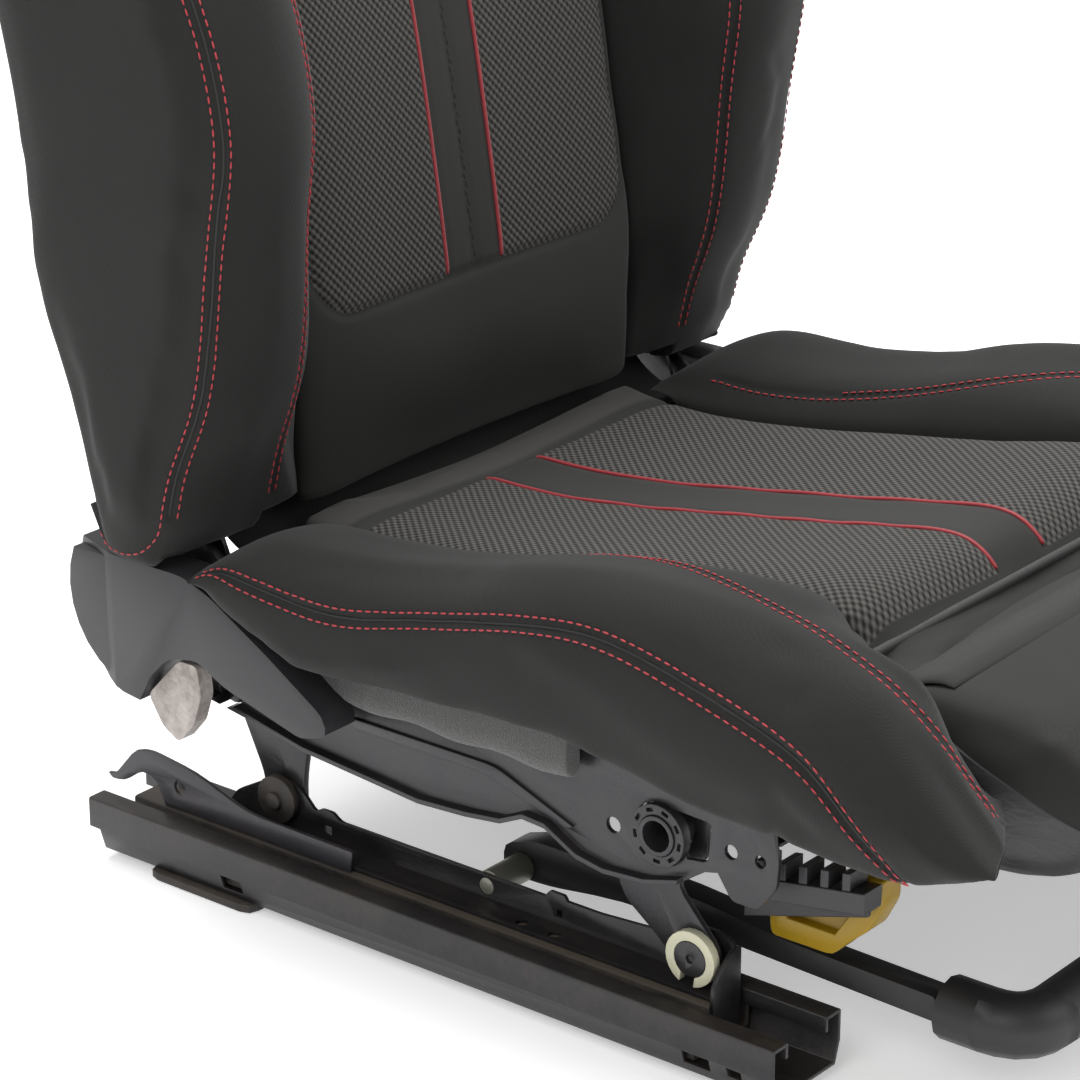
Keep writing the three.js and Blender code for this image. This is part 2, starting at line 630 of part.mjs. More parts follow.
function seatPan() {
  const half = MEMBER_IN - GAP;
  return bar('y', raised([
    [126, 20], [FRONT_TOP_X + 20, 20], [FRONT_TOP_X + 32, 13], [FRONT_TOP_X + 72, 13],
    [FRONT_TOP_X + 72, 15], [FRONT_TOP_X + 33, 15], [FRONT_TOP_X + 21, 22], [128, 22],
    [128, 23.6], [126, 23.6],
  ]), -half, half);
}

function connectorHousing() {
  const y = -(MEMBER_IN - 35);
  const width = 17;
  const body = bar('y', raised([
    [FRONT_TOP_X + 43, -58, 3], [FRONT_TOP_X + 81, -58, 4], [FRONT_TOP_X + 88, -50, 3],
    [FRONT_TOP_X + 102, -38, 3], [FRONT_TOP_X + 110, -22, 3], [FRONT_TOP_X + 110, -8, 2],
    [FRONT_TOP_X + 96, -8, 2], [FRONT_TOP_X + 40, -34, 3],
  ]), y, y + width);
  const pocket = bar('y', raised([
    [FRONT_TOP_X + 52, -46], [FRONT_TOP_X + 82, -46], [FRONT_TOP_X + 98, -20],
    [FRONT_TOP_X + 60, -34],
  ]), y - 1, y + 6);
  const stem = box(FRONT_TOP_X + 92, FRONT_TOP_X + 104, y + 4, y + 13, TOP_Z - 16, TOP_Z + 12.6);
  return cut(join(body, stem), pocket);
}

// The outline of the cover that wraps the recliner, as an arc about its axis.
function coverArc(radius, from, to, steps) {
  const points = [];
  for (let i = 0; i <= steps; i += 1) {
    const turn = THREE.MathUtils.degToRad(from + ((to - from) * i) / steps);
    points.push([RECLINE_X + radius * Math.cos(turn), RECLINE_Z + radius * Math.sin(turn)]);
  }
  return points;
}

// A moulded cover: the outline as a shell that is open towards the seat frame.
function moulding(s, outer, inner) {
  return cut(
    bar('y', outer, s * COVER_IN, s * COVER_OUT),
    bar('y', inner, s * (COVER_IN - 1), s * (COVER_OUT - COVER_WALL)),
  );
}

function reclinerCover() {
  const tail = fromRecliner([
    [8, -40, 3], [22, -26, 6], [44, -22, 5], [62, -32, 6], [118, -47, 4], [137, -41, 6],
    [134, -30, 5], [96, -6, 4], [54, 18, 4], [34, 25, 6],
  ]);
  const inset = fromRecliner([
    [9, -34], [19, -23, 4], [46, -19, 4], [64, -29, 4], [118, -43.5], [130, -36],
    [94, -9], [53, 15], [34, 22],
  ]);
  return moulding(-1,
    [...coverArc(COVER_RADIUS, 154, 269, 9), ...tail],
    [...coverArc(COVER_RADIUS - COVER_WALL, 157, 268, 9), ...inset]);
}

function outerTrim() {
  const line = [120, 185, 260, 351, 406, 452].map((x) => [x, level(BOLSTER_BOTTOM, x) - 4, 3]).reverse();
  const inner = line.map(([x, z]) => [x - 1, z - COVER_WALL]);
  return moulding(1,
    [...coverArc(COVER_RADIUS, 154, 262, 8),
      ...raised([[150, -14, 20], [FRONT_TOP_X - 10, -22, 20], [FRONT_TOP_X + 62, -14, 20]]),
      ...line, ...fromRecliner([[34, 25, 6]])],
    [...coverArc(COVER_RADIUS - COVER_WALL, 157, 264, 8),
      ...raised([[150, -11.5], [FRONT_TOP_X - 10, -19.5], [FRONT_TOP_X + 56, -12]]),
      ...inner, ...fromRecliner([[34, 22]])]);
}

// The crumpled fleece guard that hangs out from under the recliner cover.
function fleeceFlap() {
  const below = -COVER_RADIUS;
  return bar('y', fromRecliner([
    [0, below + 2, 3], [10, below - 14, 3], [22, below - 21, 3], [34, below - 7, 2],
    [40, below + 11, 3], [37, below + 28, 3], [24, below + 28, 3], [10, below + 13, 3],
  ]), -(COVER_OUT - 6), -(COVER_OUT - 16));
}

for (const [side, s] of SIDES) {
  add(`side_member_${side}`, 'greySteel', sideMember(s));
  add(`tube_bush_${side}`, 'blackPlastic', tubeBush(s));
  add(`recliner_${side}`, 'greySteel', recliner(s));
}
add('seat_pan', 'blackSteel', seatPan());
add('connector_housing', 'yellowPlastic', connectorHousing());
add('recliner_cover_right', 'blackPlastic', reclinerCover());
add('outer_trim_left', 'blackPlastic', outerTrim());
add('fleece_flap', 'fleece', fleeceFlap());

// ---------------------------------------------------------------- cushion

// Heights along the seat, as [x, height]
const PANEL_LINE = raised([[96, 77], [124, 74], [180, 75], [240, 82], [300, 92], [360, 102],
  [420, 113], [449, 116], [465, 110], [476, 93], [500, 88]]);
const CREST_LINE = raised([[103, 88], [120, 93], [157, 97], [201, 98], [234, 102], [281, 114],
  [319, 125], [357, 134], [399, 136], [448, 130], [500, 125], [540, 122], [575, 106],
  [598, 86], [612, 70]]);

function cushionPad() {
  const half = PANEL_HALF_WIDTH - GAP;
  const sections = PANEL_LINE.map(([x, z]) => [
    [x, -half, PAD_BOTTOM], [x, half, PAD_BOTTOM], [x, half, z + 3], [x, half * 0.75, z + 4],
    [x, half * 0.35, z], [x, 0, z - 1], [x, -half * 0.35, z], [x, -half * 0.75, z + 4],
    [x, -half, z + 3],
  ]);
  return loft(sections);
}

function cushionBolster(s) {
  const outer = SEAT_HALF_WIDTH - 2;
  const sections = CREST_LINE.map(([x, crest]) => {
    const bottom = level(BOLSTER_BOTTOM, x);
    const height = crest - bottom;
    const front = x >= THIGH_START - 1;
    const inner = front ? PANEL_HALF_WIDTH + 38 : PANEL_HALF_WIDTH;
    const edge = front ? bottom + height * 0.75 : Math.min(level(PANEL_LINE, x) + 6, crest - 2);
    const middle = (inner + outer) / 2;
    return [
      [x, inner, bottom], [x, inner, edge], [x, middle - 20, crest - height * 0.08],
      [x, middle + 6, crest], [x, outer - 20, crest - height * 0.04],
      [x, outer - 5, crest - height * 0.2], [x, outer, crest - height * 0.5],
      [x, outer - 1, bottom + height * 0.15], [x, outer - 8, bottom],
    ].map(([px, y, z]) => [px, s * y, z]);
  });
  return loft(sections);
}

function thighPad() {
  const half = PANEL_HALF_WIDTH + 34.7;
  const line = [[THIGH_START, 88, 26], [THIGH_START + 15, 95, 24], [560, 97, 24],
    [SEAT_FRONT - 40, 95, 26], [SEAT_FRONT - 15, 82, 34], [SEAT_FRONT, 60, 46]];
  const sections = line.map(([x, above, below], i) => {
    const [top, bottom] = [TOP_Z + above, TOP_Z + below];
    const inset = i >= line.length - 2 ? (i - line.length + 3) * 8 : 0;
    return [
      [x, -half + inset, bottom], [x, half - inset, bottom], [x, half - inset, top - 8],
      [x, half - inset - 9, top], [x, 0, top + 1], [x, -half + inset + 9, top],
      [x, -half + inset, top - 8],
    ];
  });
  return loft(sections);
}

add('cushion_pad', 'meshCloth', cushionPad());
for (const [side, s] of SIDES) add(`cushion_bolster_${side}`, 'cloth', cushionBolster(s));
add('thigh_pad', 'cloth', thighPad());
add('thigh_tray', 'blackPlastic',
  box(FRONT_TOP_X + 46, SEAT_FRONT - 35, -120, 120, PAD_BOTTOM - 7, PAD_BOTTOM - 0.5));

// ---------------------------------------------------------------- release bar and levers

function releaseBar() {
  const half = BAR_HALF_WIDTH;
  const arm = (s) => cut(
    bar('y', [
      [-14, -8, 5], [-14, 10, 6], [8, 17, 6], [108, 17, 20], [178, 10, 20],
      [BAR_REACH - 50, 8, 2], [BAR_REACH - 50, -6, 2], [168, -3, 20], [68, 0, 20], [18, -7, 8],
    ].map(([x, z, r]) => [BAR_PIVOT_X + x, BAR_PIVOT_Z + z, r]), s * (half - 8), s * (half + 8)),
    rod('y', [BAR_PIVOT_X, BAR_PIVOT_Z], 5 + RUN, s * (half - 10), s * (half + 10), 20),
  );
  const loop = bentRod(gripPath(BAR_FRONT - 56), BAR_RADIUS, GRIP_BEND, 10);
  return join(arm(-1), arm(1), loop);
}

// The middle line of the bar inside the grip, from one arm across to the other.
function gripPath(from) {
  const [half, z] = [BAR_HALF_WIDTH, BAR_GRIP_Z];
  return [[from, -half, z], [BAR_FRONT, -half, z], [BAR_FRONT, half, z], [from, half, z]];
}

add('release_bar', 'blackSteel', releaseBar());
add('release_grip', 'blackPlastic', cut(
  bentRod(gripPath(BAR_FRONT - 46), GRIP_RADIUS, GRIP_BEND, 12),
  bentRod(gripPath(BAR_FRONT - 60), BAR_RADIUS + 1.2, GRIP_BEND, 10),
));

add('recline_lever', 'blackPlastic', bar('y', [
  [RECLINE_X - 15, RECLINE_Z - 28, 12], [RECLINE_X + 16, RECLINE_Z - 28, 12],
  [RECLINE_X + 40, RECLINE_Z - 26, 8], [RECLINE_X + 96, RECLINE_Z - 40, 8],
  [RECLINE_X + 98, RECLINE_Z - 22, 8], [RECLINE_X + 44, RECLINE_Z - 6, 8],
  [RECLINE_X + 14, RECLINE_Z + 3, 12], [RECLINE_X - 17, RECLINE_Z + 3, 12],
], LEVER_IN, LEVER_OUT, 4));
add('height_lever', 'blackPlastic', bar('y', [
  [HEIGHT_LEVER_X - 16, LEVER_Z - 15, 12], [HEIGHT_LEVER_X + 16, LEVER_Z - 15, 12],
  [HEIGHT_LEVER_X + 40, LEVER_Z - 10, 8], [HEIGHT_LEVER_X + 152, LEVER_Z - 12, 9],
  [HEIGHT_LEVER_X + 152, LEVER_Z + 10, 9], [HEIGHT_LEVER_X + 40, LEVER_Z + 12, 8],
  [HEIGHT_LEVER_X + 16, LEVER_Z + 15, 12], [HEIGHT_LEVER_X - 16, LEVER_Z + 15, 12],
], LEVER_IN, LEVER_OUT, 4));

// ---------------------------------------------------------------- backrest

// The front of the middle panel, as [height, x]
const LEAN = rising([[24, 92], [90, 95], [191, 97], [269, 86], [342, 73], [409, 57], [474, 40],
  [534, 22], [594, 2], [644, -16], [BACK_HEIGHT, -31]]);
// How far the side bolsters stand forward of it, and how far back their outer edge reaches
const BOLSTER_FORWARD = rising([[103, 5], [136, 15], [185, 26], [264, 51], [313, 67], [339, 71],
  [398, 65], [474, 54], [554, 42], [624, 28], [BACK_HEIGHT - 12, 12]]);
const BOLSTER_BACK = rising([[103, -58], [136, -66], [217, -87], [327, -84], [BACK_HEIGHT, -84]]);

const lean = (z) => level(LEAN, z);

// A line of [x, z] points that follows the backrest at one distance from its front.
function leaning(offset, heights) {
  return heights.map((z) => [lean(z) + offset, z]);
}

const HEIGHTS = [96, 191, 269, 342, 409, 474, 534, 594, 644].map((z) => TOP_Z + z);

function backPad() {
  const half = PANEL_HALF_WIDTH - GAP;
  const stations = [...HEIGHTS, BACK_TOP];
  const sections = stations.map((z) => {
    const x = lean(z);
    const full = z > BACK_TOP - 10 ? 12 : 0;
    return [
      [x - BACK_PAD_DEPTH, -half, z], [x - full, -half, z], [x + 6 - full, -half * 0.75, z],
      [x - full, -half * 0.3, z], [x - full, half * 0.3, z], [x + 6 - full, half * 0.75, z],
      [x - full, half, z], [x - BACK_PAD_DEPTH, half, z],
    ];
  });
  return loft(sections);
}

function backBolster(s) {
  const outer = SEAT_HALF_WIDTH;
  const step = HALF + 28;
  const taper = rising([[434, 0], [554, 8], [624, 18], [BACK_HEIGHT - 12, 30]]);
  const sections = BOLSTER_FORWARD.map(([z, forward]) => {
    const x = lean(z);
    const back = level(BOLSTER_BACK, z);
    const narrow = level(taper, z);
    const wide = outer - narrow;
    return [
      [x - BACK_PAD_DEPTH, PANEL_HALF_WIDTH], [x, PANEL_HALF_WIDTH],
      [x + forward * 0.75, PANEL_HALF_WIDTH + 24], [x + forward, PANEL_HALF_WIDTH + 46],
      [x + forward, wide - 22], [x + forward - 10, wide - 6], [x + forward - 26, wide],
      [x + back + 12, wide], [x + back, wide - 5],
      [x + back, Math.min(step, wide - 10)],
      [x - BACK_PAD_DEPTH - (back > -60 ? 0.5 : 0), Math.min(step, wide - 10)],
    ].map(([px, y]) => [px, s * y, z]);
  });
  return cut(
    loft(sections),
    rod('y', [RECLINE_X, RECLINE_Z], COVER_RADIUS + 4, s * (HALF - 3), s * (outer + 5), 36),
    backSideOutline(s, 1.5),
  );
}

// The backrest's side plate, grown by some clearance all round.
function backSideOutline(s, room) {
  const up = [174, 269, 342, 474, 594, 646].map((z) => TOP_Z + z);
  const front = leaning(-62 + room, up);
  const back = leaning(-96 - room, up).reverse();
  return bar('y', [
    [RECLINE_X - 28 - room, RECLINE_Z - 18, 10], [RECLINE_X, RECLINE_Z - 28 - room, 14],
    [RECLINE_X + 28 + room, RECLINE_Z - 18, 12],
    [RECLINE_X + 26 + room, RECLINE_Z + 20, 14], ...front, ...back,
  ], s * (BACK_ARM_IN - room), s * (BACK_ARM_IN + SHEET + room));
}

function backSide(s) {
  const [near, far] = [s * (BACK_ARM_IN - 2), s * (BACK_ARM_IN + SHEET + 2)];
  const hole = (above, r) => rod('y', [lean(TOP_Z + above) - 79, TOP_Z + above], r, near, far, 16);
  return cut(
    backSideOutline(s, 0),
    rod('y', [RECLINE_X, RECLINE_Z], 9 + RUN, near, far),
    hole(254, 10), hole(324, 10), hole(514, 8),
  );
}

function lowerCross() {
  const half = BACK_ARM_IN - GAP;
  const [low, high] = [TOP_Z + 114, TOP_Z + 174];
  return bar('y', [
    [lean(low) - 84, low], [lean(low) - 74, low], [lean(low) - 74, low + 3],
    [lean(low) - 81, low + 3], [lean(high) - 81, high - 3], [lean(high) - 74, high - 3],
    [lean(high) - 74, high], [lean(high) - 84, high],
  ], -half, half);
}

// The moulded shell over the rear of the backrest.
function backShell() {
  const low = TOP_Z + 50;
  const outerLine = [[lean(low) - BACK_DEPTH + 14, low], ...leaning(-BACK_DEPTH, HEIGHTS),
    [lean(BACK_TOP) - BACK_DEPTH + 14, BACK_TOP + 1]];
  const innerLine = outerLine.map(([x, z]) => [x + 3, z]).reverse();
  return bar('y', [...outerLine, ...innerLine], -(HALF + 24), HALF + 24);
}

const POST_LEAN = THREE.MathUtils.degToRad(POST_TILT);
const POST_FOOT = [lean(BACK_TOP) - POST_INSET, BACK_TOP];

// A point on a post's line, some way up from the top of the backrest.
function onPost(along, y) {
  return [POST_FOOT[0] - along * Math.sin(POST_LEAN), y, POST_FOOT[1] + along * Math.cos(POST_LEAN)];
}

function postRod(y, radius, from, to, sides = 16) {
  return rod('z', [0, 0], radius, from, to, sides)
    .rotate([0, -POST_TILT, 0]).translate([POST_FOOT[0], y, POST_FOOT[1]]);
}

const [BUTTON_X, , BUTTON_Z] = onPost((COLLAR[0] + COLLAR[1]) / 2, 0);

function headGuide(s) {
  const y = (s * POST_SPACING) / 2;
  const guide = cut(
    join(postRod(y, POST_RADIUS + 4, -80, COLLAR[0]), postRod(y, COLLAR_RADIUS, ...COLLAR, 20)),
    postRod(y, POST_RADIUS + RUN, -81, COLLAR[1] + 1),
  );
  if (s < 0) return guide;
  return cut(guide, rod('y', [BUTTON_X, BUTTON_Z], BUTTON_RADIUS + RUN,
    y + COLLAR_RADIUS - 3 - BUTTON_TRAVEL - RUN, y + COLLAR_RADIUS + 2, 12));
}

function headPosts(radius) {
  const half = POST_SPACING / 2;
  const high = HEAD_CLEARANCE + 70;
  return bentRod(
    [onPost(-76, -half), onPost(high, -half), onPost(high, half), onPost(-76, half)], radius, 20);
}

function headPad() {
  const rows = [[0, 0.8, 0.62], [0.12, 0.95, 0.86], [0.35, 1, 1], [0.65, 0.98, 0.98],
    [0.88, 0.88, 0.8], [1, 0.7, 0.45]];
  const sections = rows.map(([share, width, depth]) => {
    const [x, , z] = onPost(HEAD_CLEARANCE + share * HEAD_HEIGHT, 0);
    const [w, d] = [(width * HEAD_WIDTH) / 2, (depth * HEAD_DEPTH) / 2];
    const middle = x + 6;
    return [
      [middle + d, -w * 0.55], [middle + d, w * 0.55], [middle + d * 0.7, w * 0.88],
      [middle, w], [middle - d * 0.7, w * 0.82], [middle - d, w * 0.5], [middle - d, -w * 0.5],
      [middle - d * 0.7, -w * 0.82], [middle, -w], [middle + d * 0.7, -w * 0.88],
    ].map(([px, y]) => [px, y, z]);
  });
  return cut(loft(sections), headPosts(POST_RADIUS + 1));
}

const pocket = (s) => postRod((s * POST_SPACING) / 2, POST_RADIUS + 4 + RUN, -82, 40);

for (const [side, s] of SIDES) {
  add(`back_side_${side}`, 'blackSteel', backSide(s));
  add(`back_bolster_${side}`, 'cloth', backBolster(s));
  add(`head_guide_${side}`, 'blackPlastic', headGuide(s));
}
const TOP_TUBE_Z = TOP_Z + 622;
add('back_top_tube', 'blackSteel',
  rod('y', [lean(TOP_TUBE_Z) - 79, TOP_TUBE_Z], 11, -(BACK_ARM_IN - GAP), BACK_ARM_IN - GAP, 20));
add('back_lower_cross', 'blackSteel', lowerCross());
add('back_pad', 'meshCloth', cut(backPad(), pocket(-1), pocket(1)));
add('back_shell', 'blackPlastic', backShell());
add('head_button', 'blackPlastic', rod('y', [BUTTON_X, BUTTON_Z], BUTTON_RADIUS,
  POST_SPACING / 2 + COLLAR_RADIUS - 3, POST_SPACING / 2 + COLLAR_RADIUS + 4, 12));
add('head_posts', 'chrome', headPosts(POST_RADIUS));
add('head_pad', 'cloth', headPad());

// ---------------------------------------------------------------- origin

const bounds = new THREE.Box3().setFromObject(seat);
const middle = bounds.getCenter(new THREE.Vector3());
seat.position.set(-middle.x, -middle.y, -bounds.min.z);
const part = new THREE.Group();
part.add(seat);

export default part;
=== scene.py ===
"""The looks of a sports car seat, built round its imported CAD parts. Sizes are in millimetres
in the seat's own frame until at() places them."""

import json
import math

import bmesh
import bpy
import numpy as np
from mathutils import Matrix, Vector
from mathutils.bvhtree import BVHTree
from mathutils.kdtree import KDTree


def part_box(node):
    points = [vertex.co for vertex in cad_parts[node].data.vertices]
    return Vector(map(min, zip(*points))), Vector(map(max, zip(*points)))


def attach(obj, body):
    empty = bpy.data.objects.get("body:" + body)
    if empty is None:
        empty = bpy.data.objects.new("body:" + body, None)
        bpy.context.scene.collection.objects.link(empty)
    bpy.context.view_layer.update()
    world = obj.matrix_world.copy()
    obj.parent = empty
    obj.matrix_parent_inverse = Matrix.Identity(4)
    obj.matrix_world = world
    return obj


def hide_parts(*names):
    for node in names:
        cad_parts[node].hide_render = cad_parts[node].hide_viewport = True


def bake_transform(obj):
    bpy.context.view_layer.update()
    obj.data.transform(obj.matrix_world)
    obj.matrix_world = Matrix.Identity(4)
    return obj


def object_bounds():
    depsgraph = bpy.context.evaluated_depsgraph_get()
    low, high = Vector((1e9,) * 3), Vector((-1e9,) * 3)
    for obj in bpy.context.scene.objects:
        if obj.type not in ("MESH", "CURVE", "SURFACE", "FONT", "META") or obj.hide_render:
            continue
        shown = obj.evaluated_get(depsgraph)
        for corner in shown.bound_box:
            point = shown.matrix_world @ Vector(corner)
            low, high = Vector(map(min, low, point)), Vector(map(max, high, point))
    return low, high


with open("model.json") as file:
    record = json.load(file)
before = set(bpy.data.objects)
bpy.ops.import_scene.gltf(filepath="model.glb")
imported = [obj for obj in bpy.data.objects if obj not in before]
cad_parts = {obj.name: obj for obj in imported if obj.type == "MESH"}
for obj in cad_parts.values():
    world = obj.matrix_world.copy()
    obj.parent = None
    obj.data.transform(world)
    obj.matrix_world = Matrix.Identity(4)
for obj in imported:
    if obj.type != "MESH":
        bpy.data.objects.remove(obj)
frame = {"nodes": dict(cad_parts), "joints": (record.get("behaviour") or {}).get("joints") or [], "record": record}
CAD_LOW, CAD_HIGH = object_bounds()
NODES = frame["nodes"]
BODY_OF = {n: body for body, names in frame["record"]["behaviour"]["bodies"].items() for n in names}
SLOT_OF = {s["node"]: s["material_slot"] for s in frame["record"]["subparts"]}

# ------------------------------------------------------------ places and curves

RECLINE_X, RECLINE_Z = 66.0, 178.0  # the recline axis in the seat's own frame
recline = next(j for j in frame["joints"] if j["name"] == "recline")["pos_m"]


def at(x, y, z):
    """A point of the seat, in metres in the shared frame."""
    return (recline[0] + (x - RECLINE_X) / 1000, y / 1000, recline[2] + (z - RECLINE_Z) / 1000)


def spline(points, count, closed=False):
    """Evenly spaced points on a smooth curve through the given ones."""
    p = np.array(points, float)
    if closed:
        p = np.vstack([p[-1:], p, p[:2]])
    else:
        p = np.vstack([2 * p[0] - p[1], p, 2 * p[-1] - p[-2]])
    t = np.linspace(0, 1, 16, endpoint=False)[:, None]
    fine = []
    for a, b, c, d in zip(p[:-3], p[1:-2], p[2:-1], p[3:]):
        fine.append(b + (c - a) * t / 2 + (a - 2.5 * b + 2 * c - d / 2) * t**2
                    + (1.5 * b - 1.5 * c + d / 2 - a / 2) * t**3)
    fine = np.vstack(fine + [p[-2:-1]])
    along = np.concatenate([[0], np.cumsum(np.linalg.norm(np.diff(fine, axis=0), axis=1))])
    want = np.linspace(0, along[-1], count + 1 if closed else count)[:count]
    return np.column_stack([np.interp(want, along, fine[:, k]) for k in range(fine.shape[1])])


def smooth_line(points):
    """A smooth height over a growing first coordinate."""
    curve = spline(points, 40 * len(points))
    return lambda x: float(np.interp(x, curve[:, 0], curve[:, 1]))


# ------------------------------------------------------------ meshes


def piece_from(name, vertices, faces, material, smooth=True):
    mesh = bpy.data.meshes.new(name)
    mesh.from_pydata([tuple(v) for v in vertices], [], [tuple(f) for f in faces])
    mesh.update()
    if smooth:
        mesh.shade_smooth()
    mesh.materials.append(material)
    piece = bpy.data.objects.new(name, mesh)
    bpy.context.scene.collection.objects.link(piece)
    return piece


def outward(piece):
    """Merges doubles and turns every face outwards."""
    work = bmesh.new()
    work.from_mesh(piece.data)
    bmesh.ops.remove_doubles(work, verts=work.verts, dist=1e-6)
    bmesh.ops.recalc_face_normals(work, faces=work.faces)
    if work.calc_volume(signed=True) < 0:
        bmesh.ops.reverse_faces(work, faces=work.faces)
    work.to_mesh(piece.data)
    work.free()
    return piece


def domed(loops, radius, steps=4):
    """Adds shrinking loops at both ends, so that they close in a rounded edge and a flat face."""
    loops = [np.array(loop, float) for loop in loops]

    def end(loop, inner):
        centre = loop.mean(axis=0)
        out = centre - inner.mean(axis=0)
        out /= np.linalg.norm(out)
        reach = np.linalg.norm(loop - centre, axis=1).max()
        rings = []
        for i in range(1, steps + 1):
            turn = math.pi / 2 * i / steps
            share = 1 - radius / reach * (1 - math.cos(turn))
            rings.append(centre + (loop - centre) * share + out * radius * math.sin(turn))
        flat = rings[-1]
        middle = flat.mean(axis=0)
        return rings + [middle + (flat - middle) * share for share in (0.75, 0.5, 0.25, 0.08)]

    return end(loops[0], loops[1])[::-1] + loops + end(loops[-1], loops[-2])


def skin(name, loops, material):
    """A closed skin over loops with the same number of points each."""
    loops = np.array(loops, float)
    rows, count = loops.shape[:2]
    vertices = [at(*p) for p in loops.reshape(-1, 3)]
    faces = []
    for i in range(rows - 1):
        for j in range(count):
            k = (j + 1) % count
            faces.append((i * count + j, i * count + k, (i + 1) * count + k, (i + 1) * count + j))
    faces.append(tuple(range(count))[::-1])
    faces.append(tuple(range((rows - 1) * count, rows * count)))
    return outward(piece_from(name, vertices, faces, material))


def corners_of(piece):
    co = np.empty(len(piece.data.vertices) * 3)
    piece.data.vertices.foreach_get("co", co)
    return co.reshape(-1, 3)


def move_to(piece, co):
    piece.data.vertices.foreach_set("co", np.asarray(co, float).ravel())
    piece.data.update()


def normals_of(piece):
    out = np.empty(len(piece.data.vertices) * 3)
    piece.data.vertices.foreach_get("normal", out)
    return out.reshape(-1, 3)


def applied(piece):
    """Turns a piece's modifiers into plain mesh."""
    graph = bpy.context.evaluated_depsgraph_get()
    graph.update()
    mesh = bpy.data.meshes.new_from_object(piece.evaluated_get(graph))
    old = piece.data
    piece.modifiers.clear()
    piece.data = mesh
    bpy.data.meshes.remove(old)
    return piece


def subdivided(piece, levels=1):
    modifier = piece.modifiers.new("Subdivision", "SUBSURF")
    modifier.levels = modifier.render_levels = levels
    return applied(piece)


def padded(piece, body, cap=4.0, pressure=4.0):
    """Swells a piece under cloth tension by at most cap, then refines it."""
    start = corners_of(piece)
    shrunk = start - normals_of(piece) * cap / 2000
    move_to(piece, shrunk)
    cloth = piece.modifiers.new("Cloth", "CLOTH")
    cloth.settings.quality = 4
    cloth.settings.use_pressure = True
    cloth.settings.uniform_pressure_force = pressure
    cloth.settings.effector_weights.gravity = 0
    scene = bpy.context.scene
    for step in range(1, 21):
        scene.frame_set(step)
    graph = bpy.context.evaluated_depsgraph_get()
    swollen = piece.evaluated_get(graph).to_mesh()
    co = np.empty(len(swollen.vertices) * 3)
    swollen.vertices.foreach_get("co", co)
    piece.evaluated_get(graph).to_mesh_clear()
    piece.modifiers.clear()
    scene.frame_set(1)
    shift = co.reshape(-1, 3) - start
    length = np.linalg.norm(shift, axis=1)[:, None]
    move_to(piece, start + shift * np.minimum(1, cap / 1000 / np.maximum(length, 1e-9)))
    subdivided(piece)
    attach(piece, body)
    return piece


def draped(piece, path, count, lift=0.0):
    """The path laid on the piece's skin: its points and outward directions, in metres."""
    tree = BVHTree.FromPolygons(
        [v.co for v in piece.data.vertices], [p.vertices for p in piece.data.polygons])
    spots, normals = [], []
    for p in spline(path, count):
        spot, normal, _, _ = tree.find_nearest(Vector(at(*p)))
        spots.append(spot)
        normals.append(normal)
    spots, normals = np.array(spots), np.array(normals)
    kernel = np.array([1, 2, 3, 2, 1]) / 9
    for array in [spots] * 3 + [normals] * 6:
        wide = np.vstack([array[:1]] * 2 + [array] + [array[-1:]] * 2)
        array[1:-1] = sum(k * wide[i:i + len(array)] for i, k in enumerate(kernel))[1:-1]
    normals /= np.linalg.norm(normals, axis=1)[:, None]
    return spots + normals * lift / 1000, normals


def length_of(path):
    curve = spline(path, 100)
    return float(np.linalg.norm(np.diff(curve, axis=0), axis=1).sum())


def groove(piece, path, width, depth):
    """Presses a soft channel into the piece along a path. A negative depth raises a welt."""
    spots, _ = draped(piece, path, max(12, int(length_of(path))))
    tree = KDTree(len(spots))
    for i, spot in enumerate(spots):
        tree.insert(spot, i)
    tree.balance()
    co, normals = corners_of(piece), normals_of(piece)
    low, high = spots.min(axis=0) - 0.02, spots.max(axis=0) + 0.02
    near = np.flatnonzero(((co > low) & (co < high)).all(axis=1))
    for i in near:
        distance = tree.find(co[i])[2] * 1000
        if distance < 3 * width:
            co[i] -= normals[i] * depth / 1000 * math.exp(-((distance / width) ** 2))
    move_to(piece, co)


def tube(name, points, radius, material, sides=8):
    """A round cord through points in metres, closed at both ends."""
    points = np.array(points, float)
    tangents = np.gradient(points, axis=0)
    tangents /= np.linalg.norm(tangents, axis=1)[:, None]
    side = np.cross(tangents[0], (0.3, 0.2, 1.0))
    vertices = []
    for point, tangent in zip(points, tangents):
        side -= tangent * side.dot(tangent)
        side /= np.linalg.norm(side)
        up = np.cross(tangent, side)
        for i in range(sides):
            turn = 2 * math.pi * i / sides
            vertices.append(point + radius / 1000 * (side * math.cos(turn) + up * math.sin(turn)))
    faces = []
    for i in range(len(points) - 1):
        for j in range(sides):
            k = (j + 1) % sides
            faces.append((i * sides + j, i * sides + k, (i + 1) * sides + k, (i + 1) * sides + j))
    faces.append(tuple(range(sides))[::-1])
    faces.append(tuple(range((len(points) - 1) * sides, len(points) * sides)))
    return outward(piece_from(name, vertices, faces, material))


# ------------------------------------------------------------ shader maths


